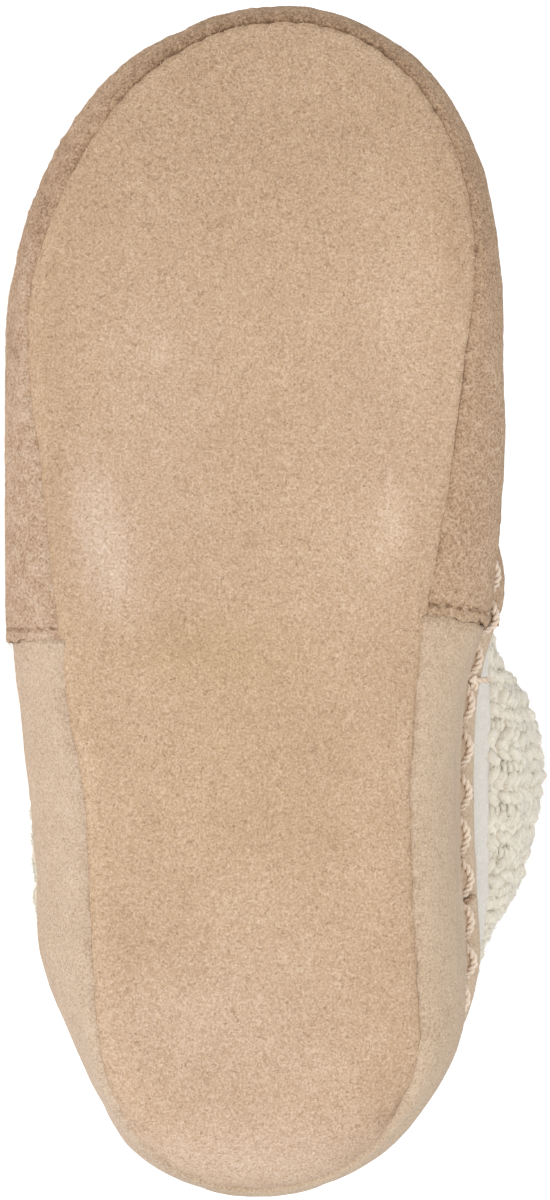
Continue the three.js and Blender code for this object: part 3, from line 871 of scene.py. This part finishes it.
def first_arc():
    inner = FINE <= math.pi
    at = np.interp(FIRST_HOLE, top_line(FINE[inner])[:, 0], FINE[inner])
    return float(np.interp(at, FINE, TOP_ARC))


HOLE_ARCS = first_arc() + np.arange(STITCHES) * TOP_ARC[-1] / STITCHES


def on_vamp(turn):
    turn = np.asarray(turn) % TAU
    return (turn > EDGE_INNER) & (turn < EDGE_OUTER)


def below_rim(p):
    return lengths(p[:, ::-1])[:, ::-1]


# Share of the wall that lies so far below the rim
def share_below(turn, down):
    turn = np.asarray(turn, float)
    shares = np.linspace(1, 2, 81)
    t, s = crossed(turn.ravel(), shares)
    down = np.broadcast_to(down, turn.shape).ravel()
    found = [np.interp(-d, -b, shares) for d, b in zip(down, below_rim(skin(t, s)))]
    return np.array(found).reshape(turn.shape)


# Inset of the outermost layer: none on the vamp, the vamp's own step on the quarters
VAMP_EDGE_SOFT = 0.012


def wall_inset(turn):
    inner = ease(-VAMP_EDGE_SOFT, VAMP_EDGE_SOFT, turn % TAU - EDGE_INNER)
    outer = ease(-VAMP_EDGE_SOFT, VAMP_EDGE_SOFT, EDGE_OUTER - turn % TAU)
    return VAMP_STEP * (1 - inner * outer)


def hole_points():
    turn = topline_turns(HOLE_ARCS)
    share = share_below(turn, HOLE_DOWN)
    return skin(turn, share) - skin_frame(turn, share)[1] * wall_inset(turn)[:, None]


HOLES = hole_points()


def hole_relief(p):
    lift, tone = np.zeros(p.shape[:-1]), np.zeros(p.shape[:-1])
    for hole in HOLES:
        far = np.linalg.norm(p - hole, axis=-1)
        lift -= 0.9 * bell(far, 1.6)
        # Painted shade in and round each hole
        tone -= 1.3 * bell(far, 1.0)
    return lift, tone


# The stitches draw the wall in along the holes and leave a lip at the rim
def rim_relief(down):
    return 0.4 * bell(down, 2.2) - bell(down - HOLE_DOWN + 0.4, 2.0)


# On the inner side the wall is drawn in below the stitches and the rim stands out over them:
# place along the side, drawn in, standing out
DRAWN = np.array([
    (8, 0, 0), (20, 0.4, 0.5), (34, 0.9, 0.7), (50, 1.4, 0.7), (64, 1.4, 0.2), (112, 1.4, 0.2),
    (124, 1.1, 0.4), (142, 1, 0.9), (152, 0.7, 1.2), (166, 0, 0.6), (182, 0, 0),
])


def drawn(t, s):
    x = along_side(t)
    pull = np.interp(x, DRAWN[:, 0], DRAWN[:, 1]) * ease(0.3, 0.8, s) * (1 - ease(1.6, 1.95, s))
    out = np.interp(x, DRAWN[:, 0], DRAWN[:, 2]) * ease(1.72, 1.97, s)
    return np.where(np.sin(t) > 0, out - pull, 0)


# The row of machine stitches by the vamp's back edges, with the cut edge behind it
ROW_FROM_EDGE = 2.6
ROW_START, ROW_PITCH = 1.2, 2.7
SLANT_END, SLANT_FADE = 190.0, 9.0


# On the inner side the back edge slants towards the heel up to the widest line and back above it
def edge_slant(s):
    return 2.4 * ease(0, 1, s) - 4.2 * ease(1, 2, s)


# The line of each row: turns, shares and length along it
def row_curve(outer):
    shares = np.linspace(0, 2, 401)
    if outer:
        turn = np.full_like(shares, TAU - turn_at(VAMP_BACK_OUTER + ROW_FROM_EDGE))
    else:
        turn = turn_at(VAMP_BACK_INNER + ROW_FROM_EDGE - edge_slant(shares))
    return turn, shares, lengths(skin(turn, shares))


ROWS = (row_curve(False), row_curve(True))


def slanted(t, s):
    along = along_side(t)
    near = (t < math.pi) & (along < SLANT_END)
    moved = along - edge_slant(s) * np.exp(-np.maximum(along - VAMP_BACK_INNER, 0) / SLANT_FADE)
    return np.where(near, turn_at(moved), t)


def edge_distance(t, s):
    along = along_side(t)
    inner = along - VAMP_BACK_INNER + edge_slant(s)
    outer = along - VAMP_BACK_OUTER
    return np.where(np.sin(t) >= 0, inner, outer)


def edge_stitch_relief(t, s):
    far = edge_distance(t, s)
    inner, outer = (np.interp(s, shares, arc) for _, shares, arc in ROWS)
    arc = np.where(np.sin(t) >= 0, inner, outer)
    aside = 0.25 * np.sin(arc * 1.9) + 0.2 * np.sin(arc * 4.3 + 1)
    groove = bell(far - ROW_FROM_EDGE - aside, 0.34)
    hole = (0.5 + 0.5 * np.cos(TAU * (arc - ROW_START) / ROW_PITCH)) ** 2
    dim = bell(far - ROW_FROM_EDGE, 1.6)
    lift = -0.4 * groove * (0.5 + 0.5 * hole) - 0.2 * dim
    # Painted shade in the stitch groove and its holes, and a little over the dip round the row
    return lift, -1.3 * groove * (0.35 + 0.65 * hole) - 0.05 * dim


# What vamp and quarters have in common: seam, holes, rim, fullness and creases
def suede_relief(t, s, p, step):
    lift, tone = seam_relief(t, s, step)
    sunk, dark = hole_relief(p)
    lift = lift + sunk + rim_relief(below_rim(p)) + drawn(t, s) + trimmed(t, s) + creased(p)
    return lift, tone + dark


# The vamp is paler behind on its outer side, with painted light rising towards the widest line where that
# side turns from the lamps; round the toe by the seam it has painted shade, with a painted highlight along
# the middle of the toe's strip
def vamp_relief(t, s, p):
    lift, tone = suede_relief(t, s, p, 0.0)
    x, outer = p[..., 0], np.sin(t) < 0
    lift = lift + (0.12 + 0.18 * ease(1, 1.3, s)) * lumps(p, 16, 21) + 0.1 * lumps(p, 5, 22)
    nap = 0.12 * (lumps(p, 2.2, 23) + lumps(p, 1.2, 24)) * (1 + 0.9 * outer)
    row, dark = edge_stitch_relief(t, s)
    low = 1 - ease(0.55, 1.0, s)
    tone = tone + dark + 0.9 * nap + 0.1 + 0.1 * ease(0, 1, s)
    # Paler behind on the outer side, with painted light rising towards the widest line
    behind = outer * (1 - ease(178, 226, x))
    tone = tone + behind * (0.16 + 0.1 * bell(from_seam(s), 3) + 0.2 * ease(0.35, 0.9, s))
    # Painted shade round the toe by the seam, and a painted highlight along the middle of the toe's strip
    # between painted shade at its edges
    tone = tone - low * (0.36 * ease(228, 253, x) + 0.2 * bell(x - 212, 22))
    tone = tone + low * ease(215, 246, x) * (0.42 * bell(s - 0.45, 0.2) - 0.22)
    return lift + nap + row, tone


# Faces that close both ends of a wall, from its outer to its inner rows
def close_ends(count, rows, outer_rows):
    def ends(first):
        outer = first + np.arange(outer_rows)
        inner = first + np.arange(outer_rows, rows)[::-1]
        i = j = 0
        faces = []
        while i < len(outer) - 1 or j < len(inner) - 1:
            if j == len(inner) - 1 or (i < len(outer) - 1 and (i + 1) / len(outer) <= (j + 1) / len(inner)):
                faces.append((outer[i], inner[j], outer[i + 1]))
                i += 1
            else:
                faces.append((outer[i], inner[j], inner[j + 1]))
                j += 1
        return np.array(faces)
    return [ends(0), ends((count - 1) * rows)[:, ::-1]]


# The outer side is a little greyer than the inner one
def outer_warmth(p):
    return OUTER_WARMTH * ease(5, 25, -p[:, 1]) * (1 - ease(195, 235, p[:, 0]))


# Longer curled fibres on the outer side behind this place, on so many rows from the seam
CURLS_END, CURL_ROWS = 215.0, 30


def make_vamp():
    turn = even_turns(side_line, EDGE_INNER, EDGE_OUTER, 341, dense=5.0)
    shares = wall_shares(23, 56)
    points, tone = wall(turn, shares, 0.0, VAMP_THICK, vamp_relief, np.linspace(2, 0, 12), slanted)
    rows = points.shape[1]
    across = np.abs(points[..., 1]) + points[..., 2]
    wavy = 0.35 * np.sin(across / 2.1) + 0.25 * np.sin(across / 0.9 + 1) + 0.15 * np.sin(across / 0.4)
    fade = bell(np.minimum(turn - turn[0], turn[-1] - turn), 0.008)
    points[..., 0] += wavy * fade[:, None]
    points, tone = points.reshape(-1, 3), tone.ravel()
    quads = grid_faces(len(turn), rows, close_columns=True)[:, ::-1]
    faces = [quads] + close_ends(len(turn), rows, len(shares) + len(RIM_TURNS) // 2)
    strips = quads.reshape(len(turn) - 1, rows, 4)
    shown = strips[:, :len(shares) - 1].reshape(-1, 4)
    make_nap("vamp_nap", points, shown, tone, 26500, 72, VAMP_SUEDE, length=1.0, rise=0.45)
    behind = np.nonzero(turn[:-1] > TAU - turn_at(CURLS_END))[0]
    coarse = strips[behind, :CURL_ROWS].reshape(-1, 4)
    make_nap("vamp_curls", points, coarse, tone - 0.1, 5000, 74, VAMP_SUEDE,
             length=1.5, rise=0.5, thick=0.09)
    piece = object_from("vamp", points, faces, VAMP_SUEDE, tone, warm=outer_warmth(points))
    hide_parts("vamp")


# The quarters rise to the vamp's back edge and end a little under it
UNDER_VAMP = 1.2


def edge_swell(behind):
    return 1.1 * np.exp(np.minimum(behind, 0) / 5) * bell(np.maximum(behind, 0), 0.8)


def quarter_relief(t, s, p):
    lift, tone = suede_relief(t, s, p, VAMP_STEP)
    outer, behind = np.sin(t) < 0, edge_distance(t, s)
    shown = behind < UNDER_VAMP
    lift = lift + edge_swell(behind) + 0.2 * lumps(p, 16, 31) + 0.08 * lumps(p, 5, 32)
    nap = 0.06 * lumps(p, 2.4, 33) + 0.05 * lumps(p, 1.3, 34)
    # Painted shadow of the vamp's back edge on the quarter, and painted shade over the whole outer side
    edge = (0.4 - 0.25 * outer) * np.exp(np.minimum(behind, 0) / 1.2)
    tone = tone - 0.1 * outer - 0.12 * (1 - ease(4, 20, p[..., 0])) + 1.2 * nap - edge
    return np.where(shown, lift + nap, -0.2), np.where(shown, tone, 0)


def make_upper():
    front = even_turns(side_line, EDGE_INNER + 0.06, EDGE_OUTER - 0.06, 64)
    back = even_turns(side_line, EDGE_OUTER - 0.05, TAU + EDGE_INNER + 0.05, 300)
    turn = np.concatenate([front, back])
    shares = wall_shares(21, 30)
    points, tone = wall(turn, shares, VAMP_STEP, WALL_INSIDE, quarter_relief, np.linspace(2, 0, 10))
    quads = ring_faces(points)
    bare = np.nonzero(~on_vamp(turn))[0]
    shown = quads.reshape(*points.shape[:2], 4)[bare, :len(shares) - 1].reshape(-1, 4)
    points, tone = points.reshape(-1, 3), tone.ravel()
    make_nap("upper_nap", points, shown, tone, 18000, 73, QUARTER_SUEDE,
             length=0.8, rise=0.35)
    piece = object_from("upper", points, [quads], QUARTER_SUEDE, tone, warm=outer_warmth(points))
    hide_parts("upper")


def by_topline(turn, out, up):
    p = top_line(turn) + outward(top_line, turn) * out[..., None]
    p[..., 2] += up
    return p


# Collar band between the topline and the cuff
BAND_ROWS, HEM_ROW = 15, 11


def band_face(turn, inset, rows):
    rise, normal = skin_frame(turn, np.full_like(turn, 2.0))
    foot = top_line(turn) + rise * BAND_SEAT - normal * inset
    head = by_topline(turn, cuff("band", turn) - (inset - BAND_INSET), np.full_like(turn, BAND_UP))
    reach = np.linalg.norm(foot - head, axis=-1, keepdims=True) / 3
    low, high = foot + rise * reach, head - reach * np.array([0, 0, 1.0])
    t = np.linspace(0, 1, rows)[None, :, None]
    w = 1 - t
    return (w ** 3 * foot[:, None] + 3 * w * w * t * low[:, None]
            + 3 * w * t * t * high[:, None] + t ** 3 * head[:, None])


def make_band():
    turn = even_turns(top_line, 0, TAU, 420, ring=True)
    outer = band_face(turn, BAND_INSET, BAND_ROWS)
    inner = band_face(turn, BAND_INSET + BAND_THICK, 7)[:, ::-1]
    points = np.concatenate([outer, inner], axis=1)
    quads = ring_faces(points)
    flat = points.reshape(-1, 3)
    normal = normals_of(flat, quads)
    ripple = 0.22 * lumps(flat, 9, 41) + 0.08 * lumps(flat, 3, 42)
    flat = pressed(flat + normal * ripple[:, None], 0.3)
    shown = quads.reshape(*points.shape[:2], 4)[:, :BAND_ROWS - 1].reshape(-1, 4)
    make_nap("band_nap", flat, shown, 0.5 * ripple, 6000, 75, WHITE_FELT,
             length=1.1, rise=0.4, thick=0.05, spread=0.35)
    piece = object_from("collar_band", flat, [quads], WHITE_FELT, 0.5 * ripple)
    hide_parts("collar_band")


# The fleece's upper and lower edge, as shares of the wall
LINING_TOP, LINING_END = 1.985, 0.35


# Fleece on the inside of the wall, turned in at the bottom to meet the insole
def make_lining():
    turn = even_turns(side_line, 0, TAU, 300, ring=True)
    t, s = crossed(turn, np.linspace(LINING_TOP, LINING_END, 46))
    base = skin(t, s)
    pile = 0.4 * lumps(base, 3.4, 51) + 0.35 * lumps(base, 1.8, 52)
    depth = WALL_INSIDE + 0.15 + (0.75 + pile) * ease(0, 0.12, LINING_TOP - s)
    shown = pressed(base - skin_frame(t, s)[1] * depth[..., None], depth)
    inward = GAP + edge_run(turn, seam_line(turn)[:, 0]) * INSOLE_EDGE
    meet = over_sole(turn, inward, 1.2, GAP + INSOLE_THICK - 1.7)
    bottom = shown[:, -1:] + (meet - shown[:, -1])[:, None] * np.array([0.35, 0.7, 1.0])[:, None]
    bottom[:, :2] -= 0.9 * outward(seam_line, turn)[:, None]
    t, s = crossed(turn, np.linspace(LINING_END, 1.98, 8))
    behind = WALL_INSIDE + 0.05
    hidden = pressed(skin(t, s) - skin_frame(t, s)[1] * behind, behind)
    points = np.concatenate([shown, bottom, hidden], axis=1)
    tone = np.zeros(points.shape[:2])
    tone[:, :pile.shape[1]] = 0.7 * pile
    piece = object_from("fleece_lining", points.reshape(-1, 3), [ring_faces(points)], FLEECE, tone.ravel())


# Where the cuff's hem lies on the band, outside and above the topline
def hem_places():
    face = band_face(FINE, BAND_INSET, BAND_ROWS)[:, HEM_ROW] - top_line(FINE)
    return np.sum(face * outward(top_line, FINE), axis=-1), face[:, 2]


HEM_OUT, HEM_UP = hem_places()

# Where the cuff lies on the floor, its inside keeps this far off it
CUFF_PRESS = 6.0


# The turned-over knit cuff: way 0 to 1 flaring from the band and up the outer face, to 2 over
# the fold, to 3 down inside
def cuff_face(turn, way):
    turn, way = np.broadcast_arrays(np.asarray(turn, float), np.asarray(way, float))
    out, lean, tall = cuff("out", turn), cuff("lean", turn), cuff("tall", turn)
    foot, fold = BAND_UP + GAP, CUFF_ROLL / 2
    start, hem = np.interp(turn % TAU, FINE, HEM_OUT), np.interp(turn % TAU, FINE, HEM_UP)
    straight = tall - fold
    flaring = FLARE + (1 - FLARE) * np.clip((way - FLARE_WAY) / (1 - FLARE_WAY), 0, 1)
    share = np.where(way > 2, 3 - way, flaring)
    over = np.clip(way - 1, 0, 1) * math.pi
    r = out + lean * share * share * (3 - 2 * share) - fold + fold * np.cos(over)
    z = foot + straight * share + fold * np.sin(over)
    angle = np.clip(way / FLARE_WAY, 0, 1) * math.pi / 2
    low = way < FLARE_WAY
    r = np.where(low, start + (r - start) * np.sin(angle), r)
    z = np.where(low, hem + (z - hem) * (1 - np.cos(angle)), z)
    return pressed(by_topline(turn, r, z), CUFF_PRESS * ease(1, 2, way))


def cuff_frame(turn, way):
    step = 2e-3
    rise = cuff_face(turn, way + step) - cuff_face(turn, way - step)
    around = cuff_face(turn + step, way) - cuff_face(turn - step, way)
    return unit(np.cross(rise, around))


RIB_PITCH = 9.2
CUFF_ARC = arc_table(lambda turn: cuff_face(turn, np.full_like(turn, 0.55)))
KNIT_RIBS = round(CUFF_ARC[-1] / RIB_PITCH)
COURSE_WAYS = ((0, 0), (8, 0.4), (19, 1), (27, 2), (41, 3))

# Courses at which the outer loops, the loops of the fold, the purls and the inner loops end
OUTER_END, FOLD_END, PURL_END, INNER_END = 16, 27, 31, 39
PLY_OVAL = 0.13


def rib_turn(u):
    return np.interp((u / KNIT_RIBS) % 1 * CUFF_ARC[-1], CUFF_ARC, FINE)


def course_way(course):
    return np.interp(course, *zip(*COURSE_WAYS))


# Yarn along the knit: rib coordinate, course coordinate and lift above the cuff's face
def yarn(name, u, course, lift, radius, sides, tone, phase):
    turn, way = rib_turn(u), course_way(course)
    normal = cuff_frame(turn, way)
    paths = cuff_face(turn, way) + normal * lift[..., None]
    steps = paths.shape[-2]
    radius, tone, phase = (v.reshape(-1, steps) for v in (radius, tone, phase))
    piece = make_tubes(name, paths.reshape(-1, steps, 3), radius, normal.reshape(-1, steps, 3), sides,
                       CREAM_KNIT, tone, PLY_OVAL, phase)
    return paths.reshape(-1, 3), normal.reshape(-1, 3)


WALE_AT, WALE_HALF = 0.43, 0.36


# Each rib is a column of fat stitches: two legs of thick soft yarn spreading from the stitch below
def make_loops(name, first, last, seed, steps=6, sides=7):
    rng = np.random.default_rng(seed)
    rib_at, c0, side = crossed(np.arange(KNIT_RIBS), np.arange(first, last), (-1.0, 1.0))
    shape = c0.shape + (1,)
    u0 = rib_at + WALE_AT + 0.06 * np.sin(0.8 * c0 + 2.3 * rib_at)
    t = np.linspace(0, 1, steps)
    spread = 0.14 + 0.8 * np.sin(t * math.pi / 2) ** 0.9
    u = u0[..., None] + side[..., None] * WALE_HALF * spread * (1 + rng.normal(0, 0.19, shape))
    course = c0[..., None] + 1.5 * t + rng.normal(0, 0.3, shape)
    bulge = np.sin(t * math.pi)
    lift = -2.1 + 0.65 * bulge ** 0.8 - 0.2 * spread ** 2 + rng.normal(0, 0.18, shape)
    lift = lift + 0.5 * (1 - ease(0, 1.5, course))
    radius = (0.82 + 0.34 * bulge) * (1 + rng.normal(0, 0.16, shape))
    # Painted shade at the ends of each leg, where it tucks between its neighbours
    tone = -0.03 * (1 - bulge) + rng.normal(0, 0.06, shape) + 0 * u
    phase = side[..., None] * (math.pi * 1.1 * t + rng.uniform(0, math.pi, shape))
    return yarn(name, u, course, lift, radius, sides, tone, phase)


def make_purls():
    rng = np.random.default_rng(19)
    u0, c0 = crossed(np.arange(KNIT_RIBS) + WALE_AT + 0.5, np.arange(PURL_END))
    shape = u0.shape + (1,)
    t = np.linspace(0, 1, 4)
    bulge = np.sin(t * math.pi)
    u = u0[..., None] + (t - 0.5) * 0.3 + rng.normal(0, 0.015, shape)
    course = c0[..., None] + 0.3 + 0.4 * bulge + rng.normal(0, 0.12, shape)
    lift = -1.9 + 0.4 * bulge + rng.normal(0, 0.14, shape)
    radius = 0.62 + 0.2 * bulge + 0 * u
    # Painted highlight on the crown of each purl bump and painted shade where it dips
    yarn("knit_purls", u, course, lift, radius, 4, 0.1 * bulge + 0 * u, 0 * u)


# The knit's ground under the loops, with painted light in its gaps, and the cuff's underside
def make_cuff():
    u = np.arange(KNIT_RIBS * 8) / 8
    turn = rib_turn(u)
    ways = np.concatenate([np.linspace(0, 1, 20)[:-1], np.linspace(1, 2, 14)[:-1], np.linspace(2, 3, 24)])
    t, w = crossed(turn, ways)
    rib_wave = np.cos(TAU * (u - WALE_AT))[:, None]
    depth = -1.8 + 0.25 * rib_wave + 1.2 * ease(2.8, 2.95, w)
    depth = depth * (1 - 0.9 * ease(2.9, 3, w)) * (0.6 + 0.4 * ease(0, 0.08, w))
    face = cuff_face(t, w) + cuff_frame(t, w) * depth[..., None]
    foot = np.full_like(turn, BAND_UP + GAP)
    under = [by_topline(turn, out, foot)[:, None]
             for out in (cuff("out", turn) - CUFF_ROLL + 1.5, cuff("band", turn) + BAND_SEAT - 1)]
    points = np.concatenate([face] + under, axis=1)
    # Painted light on the ground between the loops, where shade would fall, with painted shade in the grooves
    # between ribs
    tone = np.full(points.shape[:2], 0.4)
    tone[:, :len(ways)] += 0.1 * rib_wave
    low = pressed(points.reshape(-1, 3), 0.1)
    piece = object_from("knit_cuff", low, [ring_faces(points)], CREAM_KNIT, tone.ravel())
    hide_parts("knit_cuff")
    loops = [make_loops("knit_loops_outer", 0, OUTER_END, 17),
             make_loops("knit_loops_fold", OUTER_END, FOLD_END, 18),
             make_loops("knit_loops_inner", FOLD_END, INNER_END, 21, 5, 5)]
    make_purls()
    make_fuzz(loops)


# Loose hairs and how they are shared among the outer, fold and inner loops
HAIRS = 29500
HAIR_SHARES = (0.62, 0.26, 0.12)


def make_fuzz(loops):
    rng = np.random.default_rng(23)
    at = np.vstack([p for p, _ in loops])
    normal = np.vstack([n for _, n in loops])
    chance = np.concatenate([np.full(len(p), share / len(p)) for (p, _), share in zip(loops, HAIR_SHARES)])
    pick = rng.choice(len(at), HAIRS, p=chance)
    at, normal = at[pick] + normal[pick] * 0.7, normal[pick]
    hairs, faces = fibres(rng, at, normal, (0.9, 3.4), 0.6, (0.03, 0.065), 0.5, 0.85,
                          lambda t: 0.75 * t - 0.4 * t * t)
    tones = np.repeat(rng.normal(0.2, 0.4, HAIRS), FIBRE_POINTS)
    piece = object_from("knit_fuzz", pressed(hairs, NEAR_FLOOR), faces, CREAM_KNIT, tones)


# Two plies twisted into a cord along each path
def twisted(name, paths, normals, ply, wrap, pitch, sides, tone):
    across, other = beside(paths, normals)
    angle = (TAU * lengths(paths) / pitch)[..., None]
    aside = wrap * (across * np.cos(angle) + other * np.sin(angle))
    both = np.concatenate([paths + aside, paths - aside])
    return make_tubes(name, both, ply, np.tile(normals, (2, 1, 1)), sides, CORD, np.tile(tone, (2, 1)))


def on_wall(arc, down, lift):
    turn = topline_turns(arc)
    share = share_below(turn, down)
    normal = skin_frame(turn, share)[1]
    inset = wall_inset(turn)
    above = lift + rim_relief(down) + drawn(turn, share) - inset
    above = above + edge_swell(edge_distance(turn, share)) * inset / VAMP_STEP
    return skin(turn, share) + normal * above[..., None], normal


def make_topline_cord():
    rng = np.random.default_rng(29)
    t = np.linspace(0, 1, 27)
    pitch = TOP_ARC[-1] / STITCHES
    arc = HOLE_ARCS[:, None] + pitch * (0.04 + 0.92 * t)
    bow = rng.uniform(1.1, 1.9, (STITCHES, 1)) * np.sin(math.pi * t)
    lift = -1.1 + 1.9 * np.sin(math.pi * t) ** 0.42 + rng.normal(0, 0.06, (STITCHES, 1))
    paths, normals = on_wall(arc, HOLE_DOWN - bow, lift)
    # Painted shade on each stitch towards its ends, where it dips into the holes
    fade = -0.9 * (1 - np.sin(math.pi * t) ** 0.5) + 0 * arc
    piece = twisted("topline_cord", paths, normals, 0.47, 0.42, 3.3, 7, fade)


# A knot at one hole with the cord's cut end, and a stub at another
KNOT_HOLE = -3
STUB_HOLE = -8


def make_cord_end(name, arc, down, lift, ply, wrap, tone):
    paths, normals = on_wall(arc[None], down[None], lift[None])
    piece = twisted(name, paths, normals, ply, wrap, 3.0, 8, tone[None])


def make_knot():
    t = np.linspace(0, 1, 40)
    knot, stub = HOLE_ARCS[KNOT_HOLE], HOLE_ARCS[STUB_HOLE]
    make_cord_end("knot", knot + 1.2 * np.sin(TAU * t * 1.5), HOLE_DOWN - 0.6 + 1.1 * np.cos(TAU * t),
                  0.9 + 0.35 * np.sin(2 * TAU * t), 0.4, 0.34, 0 * t)
    t = np.linspace(0, 1, 16)
    make_cord_end("knot_tail", knot + 0.5 + 0.9 * t, HOLE_DOWN - 0.8 - 3.4 * t,
                  0.8 + 1.3 * np.sin(t * 1.7), 0.42, 0.36, -0.5 * t)
    make_cord_end("cord_stub", stub - 0.6 + 1.4 * t, HOLE_DOWN + 0.6 - 2.6 * t,
                  0.5 + 0.7 * np.sin(t * 2.4), 0.4, 0.3, np.full_like(t, -1.0))


# Machine stitches in the rows by the vamp's back edges
def make_edge_stitches():
    rng = np.random.default_rng(37)
    t = np.linspace(0, 1, 9)
    paths, normals = [], []
    for turn, shares, arc in ROWS:
        for start in np.arange(ROW_START, arc[-1] - 6.5, ROW_PITCH):
            share = np.interp(start + ROW_PITCH * (0.12 + 0.76 * t), arc, shares)
            tilt = rng.uniform(-0.35, 0.35) * (t - 0.5) + rng.normal(0, 0.12) + 0.2 * np.sin(math.pi * t)
            turns = np.interp(share, shares, turn) + tilt / 128
            normal = skin_frame(turns, share)[1]
            lift = -0.8 + 0.7 * np.sin(math.pi * t) ** 0.6 + drawn(turns, share) + trimmed(turns, share)
            paths.append(skin(turns, share) + normal * lift[:, None])
            normals.append(normal)
    paths, normals = np.array(paths), np.array(normals)
    tone = rng.uniform(-1.3, -0.5, (len(paths), 1))
    piece = make_tubes("vamp_stitches", paths, 0.22, normals, 7, CORD, tone)


make_outsole()
make_insole()
make_vamp()
make_upper()
make_lining()
make_band()
make_cuff()
make_topline_cord()
make_knot()
make_edge_stitches()

# Stage and lights: name, place, breadth and power of each
FLOOR_HALF = 30.0
FLOOR_LOOK = {
    "Base Color": (0.5, 0.5, 0.5, 1), "Roughness": 1.0, "Specular IOR Level": 0.0,
    "Emission Color": (1, 1, 1, 1), "Emission Strength": 0.85,
}
SKY_STRENGTH = 0.5
LIGHT_AIM = (0, 0, 0.06)
LIGHTS = (
    ("key", (0.55, -1.3, 0.75), 0.9, 8), ("front", (-0.1, -1.6, 0.35), 1.4, 4),
    ("overhead", (0.1, 0.25, 1.7), 1.8, 9),
)


def area_light(name, at, size, energy):
    data = bpy.data.lights.new(name, "AREA")
    data.shape = "DISK"
    data.size = size
    data.energy = energy
    light = placed(name, data)
    light.location = at
    light.rotation_mode = "QUATERNION"
    light.rotation_quaternion = (Vector(LIGHT_AIM) - Vector(at)).to_track_quat("-Z", "Y")


def make_stage():
    mesh = bpy.data.meshes.new("floor")
    signs = ((-1, -1), (1, -1), (1, 1), (-1, 1))
    mesh.from_pydata([(x * FLOOR_HALF, y * FLOOR_HALF, 0) for x, y in signs], [], [(0, 1, 2, 3)])
    material, _, shader = nodes_for("floor_white")
    filled(shader, FLOOR_LOOK)
    mesh.materials.append(material)
    floor = placed("floor", mesh)
    world = bpy.data.worlds.new("studio")
    world.use_nodes = True
    filled(world.node_tree.nodes["Background"], {"Color": (1, 1, 1, 1), "Strength": SKY_STRENGTH})
    bpy.context.scene.world = world
    for light in LIGHTS:
        area_light(*light)
    bpy.context.scene.view_settings.view_transform = "Standard"


# The photograph's view: straight at the sole, toe up, inner side to the right
EYE = np.array([128.0, 20.0, -1100.0])
AIM = np.array([128.2, 3.0, 0.0])
VIEW_HEIGHT = 254.1
SENSOR = 36


def make_camera():
    data = bpy.data.cameras.new("camera")
    data.sensor_width = SENSOR
    data.lens = SENSOR * abs(EYE[2]) / VIEW_HEIGHT
    data.clip_start, data.clip_end = 0.01, 100
    camera = placed("camera", data)
    eye, aim = Vector(laid(EYE)), Vector(laid(AIM))
    forward = (aim - eye).normalized()
    right = forward.cross(Vector(LAY @ np.array([1.0, 0, 0]))).normalized()
    turned = Matrix((right, right.cross(forward), -forward)).transposed()
    camera.matrix_world = Matrix.Translation(eye) @ turned.to_4x4()
    bpy.context.scene.camera = camera


make_stage()
make_camera()

bpy.context.view_layer.update()
